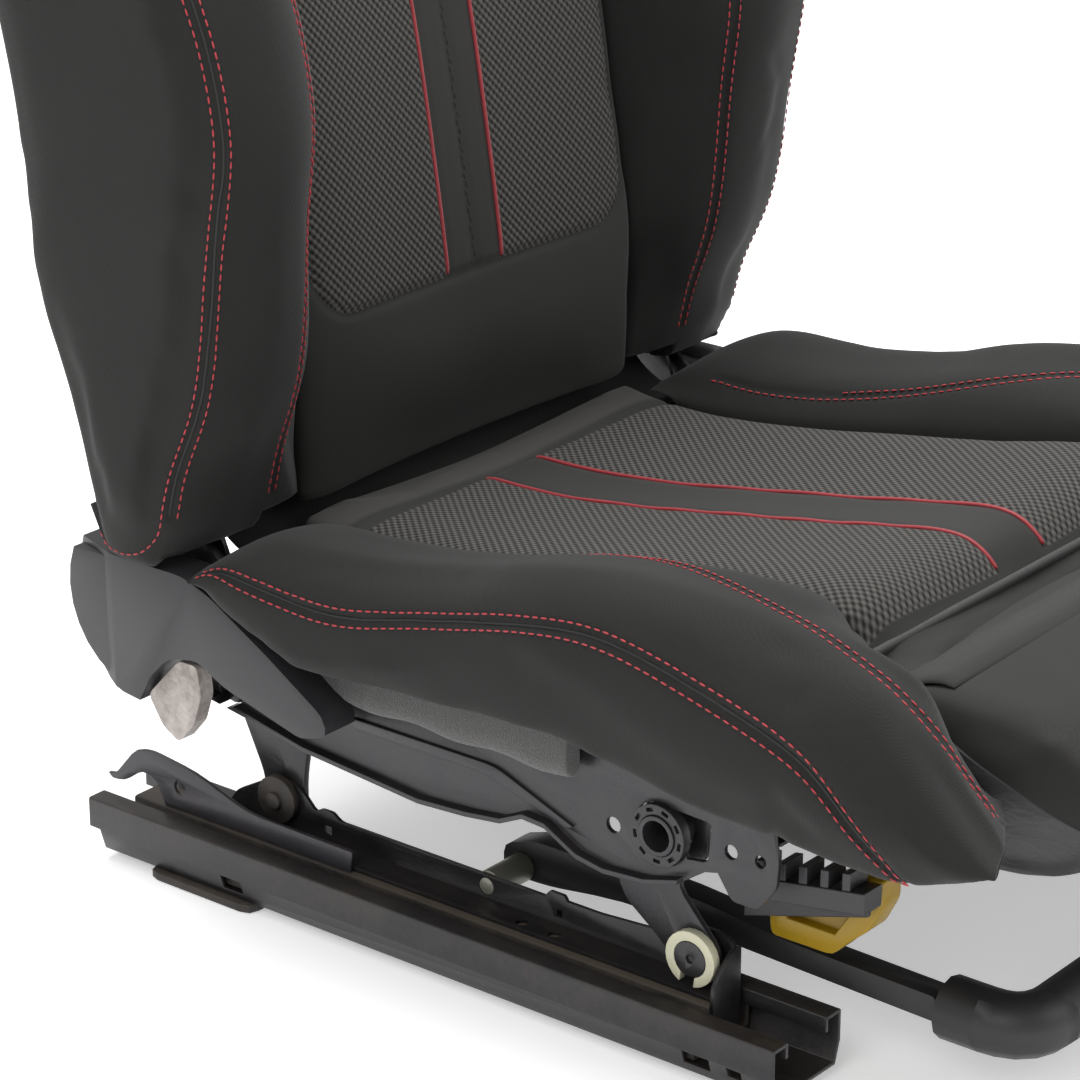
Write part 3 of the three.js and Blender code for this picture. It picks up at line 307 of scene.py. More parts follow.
class Value:
    """A number or colour inside a material, so that shader maths reads as plain sums."""

    def __init__(self, tree, socket):
        self.tree, self.socket = tree, socket

    def math(self, operation, *terms, clamp=False):
        node = self.tree.nodes.new("ShaderNodeMath")
        node.operation = operation
        node.use_clamp = clamp
        for slot, term in zip(node.inputs, terms):
            plug(self.tree, slot, term)
        return Value(self.tree, node.outputs[0])

    def __add__(self, other):
        return self.math("ADD", self, other)

    def __radd__(self, other):
        return self.math("ADD", other, self)

    def __sub__(self, other):
        return self.math("SUBTRACT", self, other)

    def __rsub__(self, other):
        return self.math("SUBTRACT", other, self)

    def __mul__(self, other):
        return self.math("MULTIPLY", self, other)

    def __rmul__(self, other):
        return self.math("MULTIPLY", other, self)

    def __truediv__(self, other):
        return self.math("DIVIDE", self, other)

    def __neg__(self):
        return self.math("MULTIPLY", self, -1.0)

    def __abs__(self):
        return self.math("ABSOLUTE", self)

    def sin(self):
        return self.math("SINE", self)

    def cos(self):
        return self.math("COSINE", self)

    def most(self, other):
        return self.math("MAXIMUM", self, other)

    def clamped(self):
        return self.math("ADD", self, 0.0, clamp=True)

    def step(self, edge, blur):
        """From 0 below the edge to 1 above it, over the blur."""
        return ((self - (edge - blur)) / (2 * blur)).clamped()


def plug(tree, slot, term):
    if isinstance(term, Value):
        tree.links.new(term.socket, slot)
    else:
        slot.default_value = term


class Finish:
    """A material whose maths is written with Value."""

    def __init__(self, name, **constants):
        self.data = bpy.data.materials.new(name)
        self.data.use_nodes = True
        self.tree = self.data.node_tree
        self.shader = self.tree.nodes["Principled BSDF"]
        for key, value in constants.items():
            self.shader.inputs[key.replace("_", " ")].default_value = value
        where = self.tree.nodes.new("ShaderNodeTexCoord")
        self.place = Value(self.tree, where.outputs["Object"])
        split = self.tree.nodes.new("ShaderNodeSeparateXYZ")
        self.tree.links.new(self.place.socket, split.inputs[0])
        self.x, self.y, self.z = (Value(self.tree, split.outputs[i]) for i in range(3))

    def make(self, kind, out, settings, **inputs):
        node = self.tree.nodes.new(kind)
        for key, value in settings.items():
            setattr(node, key, value)
        for key, value in inputs.items():
            plug(self.tree, node.inputs[key.replace("_", " ")], value)
        return Value(self.tree, node.outputs[out])

    def noise(self, scale, detail=2.0, rough=0.5, stretch=None):
        vector = self.place
        if stretch:
            vector = self.make("ShaderNodeVectorMath", 0, {"operation": "MULTIPLY"})
            node = vector.socket.node
            self.tree.links.new(self.place.socket, node.inputs[0])
            node.inputs[1].default_value = stretch
        return self.make("ShaderNodeTexNoise", 0, {}, Vector=vector, Scale=scale, Detail=detail,
                         Roughness=rough)

    def mix(self, factor, a, b):
        node = self.tree.nodes.new("ShaderNodeMix")
        node.data_type = "RGBA"
        plug(self.tree, node.inputs[0], factor)
        for slot, colour in ((node.inputs[6], a), (node.inputs[7], b)):
            plug(self.tree, slot, colour if isinstance(colour, Value) else (*colour, 1.0))
        return Value(self.tree, node.outputs[2])

    def set(self, key, value):
        plug(self.tree, self.shader.inputs[key.replace("_", " ")], value)

    def bump(self, height, distance, strength=1.0):
        out = self.make("ShaderNodeBump", 0, {}, Height=height, Distance=distance,
                        Strength=strength)
        self.set("Normal", out)


def wave(value, pitch):
    """A cosine with the given repeat in millimetres, over a coordinate in metres."""
    return (value * (2000 * math.pi / pitch)).cos()


# ------------------------------------------------------------ fabrics

DARK = (0.0125, 0.0120, 0.0112)


def weave_finish(name, colour, pitch=1.3, sheen=0.10, depth=0.00012, fuzz=0.35):
    """Close-woven cloth: fine crossing threads, light specks and soft clouds."""
    f = Finish(name, Roughness=0.82, Sheen_Weight=sheen, Sheen_Roughness=0.45,
               Specular_IOR_Level=0.3)
    diagonal = f.x + f.z + f.y * 0.4
    across = f.x * 0.5 - f.z + f.y
    threads = wave(diagonal, pitch) * wave(across, pitch * 1.2)
    speck = f.noise(1900, 2, 0.6)
    cloud = f.noise(14, 3, 0.55)
    light = tuple(c * 1.75 for c in colour)
    shade = (threads * 0.16 + speck * fuzz * 1.6 + cloud * 0.5 - 0.28).clamped()
    f.colour = f.mix(shade, tuple(c * 0.62 for c in colour), light)
    f.set("Base Color", f.colour)
    f.bump(threads * 0.5 + speck * 0.6, depth)
    return f


def weave(*sizes):
    return weave_finish(*sizes).data


def knit_shade(f, u, v, pitch):
    """Staggered little lumps in diagonal rows: 0 in the holes, 1 on the threads."""
    first = (u * (2000 * math.pi / pitch) + v * (2000 * math.pi / pitch / 0.95)).cos()
    second = (u * (2000 * math.pi / pitch) - v * (2000 * math.pi / pitch / 0.95)).cos()
    return (first * 0.36 + second * 0.22 + 0.5).clamped()


def panel(name, u_axis, v_axis, mask, stripe_half, pitch):
    """A middle panel: knit mesh inside the mask, and smooth cloth outside it and on the stripe."""
    f = Finish(name, Roughness=0.8, Sheen_Weight=0.12, Sheen_Roughness=0.4,
               Specular_IOR_Level=0.3)
    knit = knit_shade(f, getattr(f, u_axis), getattr(f, v_axis), pitch)
    speck = f.noise(1500, 2, 0.6)
    cloud = f.noise(9, 3, 0.5)
    stripe = 1 - abs(f.y).step(stripe_half / 1000, 0.0006)
    inside = mask(f) * (1 - stripe)
    smooth = f.mix((speck * 0.5 + cloud * 0.6 - 0.2).clamped(), (0.013, 0.0128, 0.012),
                   (0.032, 0.0315, 0.029))
    if name == "cushion_panel":
        # Painted sheen: behind x 122 mm the cushion's rear band gets a lighter base colour that stands in for the
        # shine of its smooth satin cloth.
        painted_sheen_band = (1 - f.x.step(origin_x(122), 0.002)) * 0.75
        smooth = f.mix(painted_sheen_band, smooth, (0.050, 0.048, 0.045))
    thread = f.mix((knit * 1.2 + speck * 0.25 - 0.2).clamped(), (0.006, 0.006, 0.0062),
                   (0.082, 0.077, 0.070))
    f.set("Base Color", f.mix(inside, smooth, thread))
    f.set("Roughness", 0.74 + inside * 0.14)
    f.bump(inside * knit * 1.0 + speck * 0.06 + (1 - inside) * 0.55, 0.0011, 0.9)
    return f.data


def origin_x(x):
    return at(x, 0, 0)[0]


def back_mask(f):
    """The knit area of the backrest: above a seam with rounded lower corners."""
    corner, half, low = 0.034, 0.139, at(0, 0, 316)[2]
    dx = (abs(f.y) - (half - corner)).most(0.0)
    dz = ((low + corner) - f.z).most(0.0)
    away = (dx * dx + dz * dz).math("SQRT", dx * dx + dz * dz)
    return 1 - away.step(corner, 0.0005)


def cushion_mask(f):
    rear = f.x - abs(f.y) * 0.06
    return rear.step(origin_x(124), 0.0006) * (1 - f.x.step(origin_x(472), 0.0006))


MATERIALS = {}


def build_fabrics():
    m = MATERIALS
    m["cloth"] = weave("bolster_cloth", DARK)
    m["smooth_cloth"] = weave("smooth_cloth", (0.018, 0.0175, 0.016), 0.9, 0.16, 0.00008)
    m["back_panel"] = panel("back_panel", "z", "y", back_mask, 23.5, 5.4)
    m["cushion_panel"] = panel("cushion_panel", "x", "y", cushion_mask, 23, 5.6)

    red = Finish("red_thread", Roughness=0.55, Sheen_Weight=0.15)
    red.set("Base Color", red.mix(red.noise(900, 2), (0.27, 0.012, 0.019), (0.50, 0.028, 0.040)))
    red.bump(red.noise(2600, 1), 0.0002)
    m["red_thread"] = red.data
    dark = Finish("dark_thread", Roughness=0.7)
    dark.set("Base Color", dark.mix(dark.noise(900, 2), (0.008, 0.008, 0.008), (0.02, 0.02, 0.02)))
    m["dark_thread"] = dark.data
    cord = Finish("piping_cord", Roughness=0.6, Sheen_Weight=0.15)
    cord.set("Base Color", cord.mix(cord.noise(300, 3), (0.010, 0.010, 0.010), (0.03, 0.029, 0.027)))
    cord.bump(cord.noise(1800, 2), 0.0003)
    m["piping_cord"] = cord.data
    red_cord = Finish("red_piping", Roughness=0.5, Sheen_Weight=0.2)
    red_cord.set("Base Color", red_cord.mix(red_cord.noise(400, 3), (0.20, 0.009, 0.014),
                                            (0.38, 0.022, 0.032)))
    red_cord.bump(red_cord.noise(2200, 2), 0.0002)
    m["red_piping"] = red_cord.data

    both = weave_finish("thigh_cloth", (0.017, 0.0165, 0.0155), 0.9, 0.14, 0.00008)
    slope = both.z + (both.x - origin_x(600)) * 0.35
    vinyl_mask = (1 - slope.step(at(0, 0, 190)[2], 0.0006)) * both.x.step(origin_x(545), 0.0006)
    wrinkle = both.noise(30, 5, 0.6, (1.0, 0.22, 2.0))
    pores = both.noise(900, 3, 0.6)
    vinyl_colour = both.mix(wrinkle, (0.028, 0.027, 0.028), (0.062, 0.060, 0.060))
    both.set("Base Color", both.mix(vinyl_mask, both.colour, vinyl_colour))
    both.set("Roughness", 0.82 - vinyl_mask * 0.36)
    both.bump(vinyl_mask * (wrinkle * 2.4 + pores * 0.2) + (1 - vinyl_mask) * pores * 0.1, 0.0012)
    m["thigh_cloth"] = both.data

    felt = Finish("felt", Roughness=0.95, Sheen_Weight=0.5)
    felt.set("Base Color", felt.mix(felt.noise(700, 4, 0.7), (0.012, 0.012, 0.011),
                                    (0.06, 0.057, 0.052)))
    felt.bump(felt.noise(1100, 4, 0.7), 0.0015)
    m["felt"] = felt.data
    fleece = Finish("fleece", Roughness=0.7, Sheen_Weight=0.3)
    fold = fleece.noise(38, 4, 0.65)
    fleece.set("Base Color", fleece.mix((fold * 2.2 - 0.6).clamped(), (0.10, 0.07, 0.055),
                                        (0.62, 0.57, 0.54)))
    fleece.bump(fold, 0.004)
    m["fleece"] = fleece.data


# ------------------------------------------------------------ metals and plastics


def paint(name, colour, roughness, dust=0.25, rust=0.0, metallic=0.35, dust_line=None):
    """Satin paint with dust that lies on upward faces, scuffs, fine grain and some rust."""
    f = Finish(name, Specular_IOR_Level=0.55, Coat_Weight=0.12, Coat_Roughness=0.3,
               Metallic=metallic)
    geometry = f.tree.nodes.new("ShaderNodeNewGeometry")
    split = f.tree.nodes.new("ShaderNodeSeparateXYZ")
    f.tree.links.new(geometry.outputs["Normal"], split.inputs[0])
    upward = Value(f.tree, split.outputs[2])
    cloud = f.noise(38, 5, 0.65)
    fine = f.noise(420, 3, 0.6)
    streak = f.noise(60, 4, 0.7, (0.25, 1.0, 1.0))
    scuff = (streak * 3.2 - 1.95).clamped()
    lies = (cloud * 1.6 + fine * 0.5 - 0.85 + upward * 0.35).clamped() * dust
    if dust_line is not None:
        lies = (lies + f.x.step(dust_line, 0.004) * 0.55 * upward.clamped()).clamped()
    base = f.mix(fine * 0.4 + cloud * 0.3, tuple(c * 0.75 for c in colour),
                 tuple(c * 1.3 for c in colour))
    worn = f.mix(scuff * 0.35, base, tuple(min(1, c * 2.4 + 0.02) for c in colour))
    dusty = f.mix(lies, worn, (0.115, 0.092, 0.070))
    if rust:
        patch = ((f.noise(85, 5, 0.7) * 4.0 - 2.45).clamped() * rust).clamped()
        dusty = f.mix(patch, dusty, (0.16, 0.055, 0.018))
        lies = (lies + patch).clamped()
    f.set("Base Color", dusty)
    f.set("Roughness", (roughness + lies * 0.45 + scuff * 0.12 + fine * 0.08).clamped())
    f.bump(fine * 0.25 + lies * 1.4 - scuff * 0.3, 0.0006, 0.6)
    return f.data


def moulded(name, colour, roughness, grain=0.00012, speck=0.15):
    f = Finish(name, Specular_IOR_Level=0.5)
    fine = f.noise(1300, 2, 0.6)
    cloud = f.noise(18, 4, 0.6)
    f.set("Base Color", f.mix(cloud * 0.6 + fine * speck, tuple(c * 0.8 for c in colour),
                              tuple(min(1, c * 1.25) for c in colour)))
    f.set("Roughness", (roughness - 0.06 + cloud * 0.14 + fine * 0.05).clamped())
    f.bump(fine, grain)
    return f.data


def build_hard():
    m = MATERIALS
    rust_line = origin_x(184)
    m["black_steel"] = paint("black_steel", (0.017, 0.017, 0.020), 0.27, 0.30)
    m["rail_steel"] = paint("rail_steel", (0.023, 0.023, 0.026), 0.33, 0.42, 0.12)
    m["grey_steel"] = paint("grey_steel", (0.026, 0.026, 0.030), 0.25, 0.24, 0.04)
    m["hook_steel"] = paint("hook_steel", (0.050, 0.048, 0.055), 0.36, 0.25, 0.05)
    m["dusty_steel"] = paint("dusty_steel", (0.026, 0.024, 0.024), 0.5, 0.8, 0.8, 0.3, rust_line)
    m["zinc"] = paint("zinc_plate", (0.34, 0.34, 0.29), 0.38, 0.4, 0.1, 0.75)
    m["chrome"] = paint("chrome_plate", (0.75, 0.75, 0.76), 0.08, 0.02, 0.0, 1.0)
    m["black_plastic"] = moulded("black_plastic", (0.027, 0.026, 0.029), 0.38)
    m["grip_plastic"] = moulded("grip_plastic", (0.022, 0.021, 0.021), 0.42)
    m["nylon"] = moulded("nylon_cream", (0.62, 0.60, 0.44), 0.38, 0.0001, 0.3)
    m["yellow_plastic"] = moulded("yellow_plastic", (0.34, 0.21, 0.006), 0.35)
    floor = Finish("floor", Roughness=0.9, Emission_Strength=0.4, Emission_Color=(1, 1, 1, 1))
    floor.set("Base Color", floor.mix(floor.noise(3, 2), (0.86, 0.86, 0.86), (0.88, 0.88, 0.88)))
    m["floor"] = floor.data


build_fabrics()
build_hard()


# ------------------------------------------------------------ repeated stitches


def stitch_tree():
    """Spaced stitches along a chain of edges, each turned to the attribute named away."""
    tree = bpy.data.node_groups.new("stitch_row", "GeometryNodeTree")
    ins = {}
    for name, kind in (("Geometry", "NodeSocketGeometry"), ("Pitch", "NodeSocketFloat"),
                       ("Size", "NodeSocketVector"), ("Material", "NodeSocketMaterial")):
        ins[name] = tree.interface.new_socket(name, in_out="INPUT", socket_type=kind).identifier
    tree.interface.new_socket("Geometry", in_out="OUTPUT", socket_type="NodeSocketGeometry")
    new = tree.nodes.new
    source, sink = new("NodeGroupInput"), new("NodeGroupOutput")
    curve, spaced = new("GeometryNodeMeshToCurve"), new("GeometryNodeResampleCurve")
    spaced.mode = "LENGTH"
    tangent, away = new("GeometryNodeInputTangent"), new("GeometryNodeInputNamedAttribute")
    away.data_type = "FLOAT_VECTOR"
    away.inputs["Name"].default_value = "away"
    along, turned = (new("FunctionNodeAlignRotationToVector") for _ in range(2))
    along.axis = "X"
    turned.axis, turned.pivot_axis = "Z", "X"
    ball, sized = new("GeometryNodeMeshUVSphere"), new("GeometryNodeTransform")
    ball.inputs["Segments"].default_value = 6
    ball.inputs["Rings"].default_value = 5
    ball.inputs["Radius"].default_value = 0.5
    place, real = new("GeometryNodeInstanceOnPoints"), new("GeometryNodeRealizeInstances")
    smooth, dyed = new("GeometryNodeSetShadeSmooth"), new("GeometryNodeSetMaterial")
    for a, b in (
        (source.outputs["Geometry"], curve.inputs[0]),
        (curve.outputs[0], spaced.inputs["Curve"]),
        (source.outputs["Pitch"], spaced.inputs["Length"]),
        (tangent.outputs[0], along.inputs["Vector"]),
        (along.outputs[0], turned.inputs["Rotation"]),
        (away.outputs["Attribute"], turned.inputs["Vector"]),
        (ball.outputs["Mesh"], sized.inputs["Geometry"]),
        (source.outputs["Size"], sized.inputs["Scale"]),
        (spaced.outputs[0], place.inputs["Points"]),
        (sized.outputs[0], place.inputs["Instance"]),
        (turned.outputs[0], place.inputs["Rotation"]),
        (place.outputs[0], real.inputs[0]),
        (real.outputs[0], smooth.inputs[0]),
        (smooth.outputs[0], dyed.inputs["Geometry"]),
        (source.outputs["Material"], dyed.inputs["Material"]),
        (dyed.outputs[0], sink.inputs[0]),
    ):
        tree.links.new(a, b)
    return tree, ins


STITCH_TREE, STITCH_INS = stitch_tree()


def stitch_rows(name, rows, body, material, pitch=5.6, size=(4.5, 1.1, 0.9)):
    """One piece that holds every stitch of some rows. A row is points and outward directions."""
    vertices, edges, away = [], [], []
    for spots, normals in rows:
        first = len(vertices)
        vertices += [tuple(s) for s in spots]
        away += [tuple(n) for n in normals]
        edges += [(i, i + 1) for i in range(first, len(vertices) - 1)]
    mesh = bpy.data.meshes.new(name)
    mesh.from_pydata(vertices, edges, [])
    attribute = mesh.attributes.new("away", "FLOAT_VECTOR", "POINT")
    attribute.data.foreach_set("vector", np.array(away, float).ravel())
    piece = bpy.data.objects.new(name, mesh)
    bpy.context.scene.collection.objects.link(piece)
    modifier = piece.modifiers.new("Stitches", "NODES")
    modifier.node_group = STITCH_TREE
    modifier[STITCH_INS["Pitch"]] = pitch / 1000
    modifier[STITCH_INS["Size"]] = tuple(s / 1000 for s in size)
    modifier[STITCH_INS["Material"]] = material
    applied(piece)
    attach(piece, body)
    return piece


# ------------------------------------------------------------ cushion

BOLSTER_BOTTOM = smooth_line([(96, 206), (121, 200), (133, 192), (172, 178), (185, 174),
                              (260, 176), (351, 180), (406, 173), (457, 166), (557, 162),
                              (600, 172), (621, 182), (632, 188)])
CREST = smooth_line([(96, 197), (111, 208), (122, 217), (138, 225), (157, 229), (201, 231),
                     (234, 234), (281, 243), (319, 254), (357, 262), (399, 267), (432, 267),
                     (465, 263), (500, 258), (523, 254), (545, 247), (571, 232), (600, 210),
                     (616, 197), (632, 189)])
UPPER_SEAM = smooth_line([(96, 226), (123, 226), (155, 220), (214, 217), (276, 231), (341, 246),
                          (391, 250), (452, 239), (510, 222), (540, 200), (560, 181), (573, 164),
                          (600, 160)])
PANEL_LINE = smooth_line([(90, 205), (124, 200), (180, 201), (240, 208), (300, 218), (360, 228),
                          (420, 239), (449, 241), (465, 235), (476, 220), (488, 215), (500, 214)])
BOLSTER_OUT = 261.0
PANEL_HALF = 149.5
THIGH_HALF = 184.5


def cushion_bolster(side, s):
    loops = []
    for x in np.concatenate([np.linspace(111, 490, 62), np.linspace(497, 622, 26)]):
        crest, low = CREST(x), BOLSTER_BOTTOM(x)
        tall = max(crest - low, 6)
        forward = min(1, max(0, (x - 488) / 14))
        inner = PANEL_HALF + 0.8 + forward * (THIGH_HALF + 3.4 - PANEL_HALF)
        edge = (1 - forward) * min(PANEL_LINE(x) + 4, crest - 3) + forward * (low + tall * 0.82)
        hump = inner + (212 - inner) * 0.86
        loop = [
            (inner + 1, low + 3), (inner, (low + edge) / 2), (inner + 1.5, edge),
            (inner + (hump - inner) * 0.45, edge + (crest - edge) * 0.62),
            (hump, crest - tall * 0.05), (hump + 26, crest), (BOLSTER_OUT - 13, crest - tall * 0.06),
            (BOLSTER_OUT - 4, crest - tall * 0.22), (BOLSTER_OUT, crest - tall * 0.50),
            (BOLSTER_OUT - 0.5, low + tall * 0.2), (BOLSTER_OUT - 4, low + 3),
            (BOLSTER_OUT - 12, low), (inner + 14, low),
        ]
        ring = spline(loop, 56, closed=True)
        slant = min(1, max(0, (x - 520) / 96))
        slant = slant * slant * (3 - 2 * slant) * 0.58
        loops.append([(x - slant * (BOLSTER_OUT - y), s * y, z) for y, z in ring])
    piece = skin(f"cushion_bolster_{side}", domed(loops, 3.5), MATERIALS["cloth"])
    padded(piece, "cushion_frame", cap=3.0)
    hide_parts(f"cushion_bolster_{side}")

    def seam(drop):
        xs = np.concatenate([np.linspace(112, 540, 40), np.linspace(548, 571, 6)])
        return [(x, s * 259, UPPER_SEAM(x) - drop) for x in xs]

    def crest_row(shift, start=0):
        """Along the inner slope, up over the crest and down the front edge."""
        rows = [(150, 156, 222), (185, 158, 219), (242, 161, 226), (300, 166, 240),
                (350, 176, 252), (400, 190, 260), (448, 202, 258), (490, 210, 254),
                (521, 215, 250), (542, 216, 242), (560, 217, 228), (580, 218, 206),
                (598, 220, 184)]
        return [(x + shift * 0.3, s * (y + shift), z) for x, y, z in rows[start:]]

    paths = {"seam": (seam(5), 300), "crest_seam": (crest_row(3.5), 300)}
    cords = {label: draped(piece, path, steps) for label, (path, steps) in paths.items()}
    rows = [draped(piece, seam(0), 300, 0.2), draped(piece, seam(10), 300, 0.2),
            draped(piece, crest_row(0), 300, 0.2), draped(piece, crest_row(7, 2), 260, 0.2)]
    groove(piece, seam(5), 2.6, 2.2)
    groove(piece, crest_row(3.5), 2.2, 1.3)
    stitch_rows(f"cushion_stitches_{side}", rows, "cushion_frame", MATERIALS["red_thread"])
    for label, (spots, normals) in cords.items():
        line = tube(f"cushion_{label}_{side}", spots - normals * 0.0019, 0.8,
                    MATERIALS["dark_thread"], 6)
        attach(line, "cushion_frame")
    return piece


def cushion_panel():
    loops = []
    for x in np.linspace(99, 496, 78):
        z = PANEL_LINE(x)
        h = PANEL_HALF
        loop = [(-h + 4, 152), (h - 4, 152), (h, 158), (h, z - 6), (h - 4, z + 1), (h * 0.78, z + 3.5),
                (h * 0.42, z + 1), (0, z - 1), (-h * 0.42, z + 1), (-h * 0.78, z + 3.5),
                (-h + 4, z + 1), (-h, z - 6), (-h, 158)]
        loops.append([(x, y, q) for y, q in spline(loop, 120, closed=True)])
    piece = skin("cushion_panel", domed(loops, 3), MATERIALS["cushion_panel"])
    padded(piece, "cushion_frame", cap=2.0)
    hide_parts("cushion_pad")
    rear = [(124 + 0.06 * abs(y), y, PANEL_LINE(124) + 3) for y in np.linspace(-146, 146, 25)]
    groove(piece, rear, 2.4, 2.2)
    for s in (-1, 1):
        lines = [(x, s * 23, PANEL_LINE(x)) for x in np.linspace(126, 470, 40)]
        groove(piece, lines, 2.0, 1.3)
        spots, _ = draped(piece, lines, 220, 0.35)
        cord = tube(f"cushion_piping_{'right' if s < 0 else 'left'}", spots, 1.25,
                    MATERIALS["red_piping"])
        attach(cord, "cushion_frame")
    front = [(477, y, PANEL_LINE(477)) for y in np.linspace(-166, 166, 30)]
    cord = tube("cushion_front_piping", [at(x, y, z + 4.2) for x, y, z in front], 2.5,
                MATERIALS["piping_cord"], 10)
    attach(cord, "cushion_frame")
    return piece


# ------------------------------------------------------------ thigh support

THIGH_TOP = smooth_line([(496, 214), (508, 219), (530, 225), (575, 225), (606, 221), (628, 208),
                         (640, 192), (645, 184)])
THIGH_LOW = smooth_line([(496, 152), (570, 151), (606, 153), (628, 161), (640, 170), (645, 176)])


def thigh_pad():
    loops = []
    for x in np.linspace(503, 640, 30):
        top, low = THIGH_TOP(x), THIGH_LOW(x)
        h = THIGH_HALF - max(0, x - 622) * 0.35
        loop = [(-h + 5, low + 1), (0, low), (h - 5, low + 1), (h, low + 9), (h, top - 14), (h - 3, top - 4),
                (h - 11, top), (h * 0.5, top + 1.5), (0, top + 2), (-h * 0.5, top + 1.5),
                (-h + 11, top), (-h + 3, top - 4), (-h, top - 14), (-h, low + 9)]
        loops.append([(x, y, z) for y, z in spline(loop, 110, closed=True)])
    piece = skin("thigh_pad", domed(loops, 4), MATERIALS["thigh_cloth"])
    padded(piece, "thigh_support", cap=2.5)
    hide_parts("thigh_pad")
    return piece


def strip(name, line, half, thick, material, edge=6):
    """A closed band of cloth along a line of (x, z), as wide as half to each side."""
    line = spline(line, 30)
    direction = np.gradient(line, axis=0)
    direction /= np.linalg.norm(direction, axis=1)[:, None]
    up = np.column_stack([-direction[:, 1], direction[:, 0]])
    border = edge * np.linspace(0, 1, 4)
    middle = np.linspace(-half + edge * 2, half - edge * 2, 24)
    count = np.arange(len(line))
    taper = np.minimum(1, np.minimum(count, count[::-1]) / 5)
    loops = []
    for y in np.concatenate([-half + border, middle, half - border[::-1]]):
        full = min(1, (half - abs(y)) / edge)
        rise = thick * (0.25 + 0.75 * math.sqrt(full)) * (0.2 + 0.8 * np.sqrt(taper))[:, None]
        top = line + up * rise
        ring = [(x, y, z) for x, z in line] + [(x, y, z) for x, z in top[::-1]]
        loops.append(ring)
    return skin(name, loops, material)


def front_band():
    """The stretch of cloth between the cushion's front piping and the thigh support."""
    line = [(481, 214.5), (487, 213.5), (496, 214.5), (506, 219), (518, 225), (529, 228.5),
            (538, 228.5)]
    piece = strip("front_band", line, 168, 2.6, MATERIALS["smooth_cloth"])
    at(484, 0, 215)
    at(530, 0, 215)
    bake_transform(piece)


def crease_tuck():
    """The cloth that joins the cushion's rear to the foot of the backrest."""
    line = [(118, 192), (100, 193), (84, 199), (72, 208), (64, 220), (58, 236)]
    piece = strip("crease_tuck", line, 190, 2.4, MATERIALS["cloth"])
    at(104, 0, 193)
    at(60, 0, 232)
    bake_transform(piece)


def felt_strip(side, s):
    loops = []
    for x in np.linspace(152, 346, 24):
        top, low = BOLSTER_BOTTOM(x) + 2, 148 + 1.2 * math.sin(x * 0.11)
        loop = [(219, low), (228.5, low + 1), (229, (low + top) / 2), (228, top), (219.5, top)]
        loops.append([(x, s * y, z) for y, z in spline(loop, 20, closed=True)])
    piece = skin(f"felt_strip_{side}", domed(loops, 2), MATERIALS["felt"])
    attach(piece, "cushion_frame")


def connector_bracket():
    """A ribbed black bracket across the yellow housing."""
    low, high = (np.array(c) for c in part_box("connector_housing"))
    work = bmesh.new()

    def slab(x0, x1, y0, y1, z0, z1, lift=0.0):
        made = bmesh.ops.create_cube(work, size=1.0)["verts"]
        for v in made:
            x = x0 if v.co.x < 0 else x1
            v.co = Vector((x, y0 if v.co.y < 0 else y1,
                           (z0 if v.co.z < 0 else z1) + lift * (x - low[0])))

    y = low[1] - 0.0035
    slab(low[0] - 0.010, high[0] + 0.002, y - 0.016, y, low[2] + 0.028, low[2] + 0.040, 0.16)
    slab(low[0] - 0.010, high[0] - 0.004, y - 0.003, y, low[2] + 0.012, low[2] + 0.0278, 0.30)
    for i in range(5):
        x = low[0] + 0.006 + i * 0.013
        slab(x, x + 0.005, y - 0.016, y, low[2] + 0.0402, low[2] + 0.0500, 0.16)
    mesh = bpy.data.meshes.new("connector_bracket")
    work.to_mesh(mesh)
    work.free()
    mesh.materials.append(MATERIALS["black_plastic"])
    piece = bpy.data.objects.new("connector_bracket", mesh)
    bpy.context.scene.collection.objects.link(piece)
    modifier = piece.modifiers.new("Bevel", "BEVEL")
    modifier.width, modifier.segments = 0.0006, 2
    outward(applied(piece))
    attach(piece, "cushion_frame")


# ------------------------------------------------------------ backrest

LEAN = smooth_line([(150, 90), (216, 95), (262, 97), (317, 97), (395, 86), (468, 73), (535, 57),
                    (600, 40), (660, 22), (720, 2), (770, -16), (812, -31), (830, -38)])
FORWARD = smooth_line([(200, -2), (215, 2), (232, 10), (262, 18), (311, 38), (390, 61), (439, 77),
                       (465, 81), (495, 81), (524, 77), (600, 63), (680, 48), (750, 32),
                       (800, 16)])
REAR = smooth_line([(200, -46), (216, -52), (240, -60), (262, -66), (343, -86), (453, -84),
                    (812, -84)])
WIDE = smooth_line([(200, 258), (240, 262), (560, 262), (680, 254), (750, 244), (800, 233)])


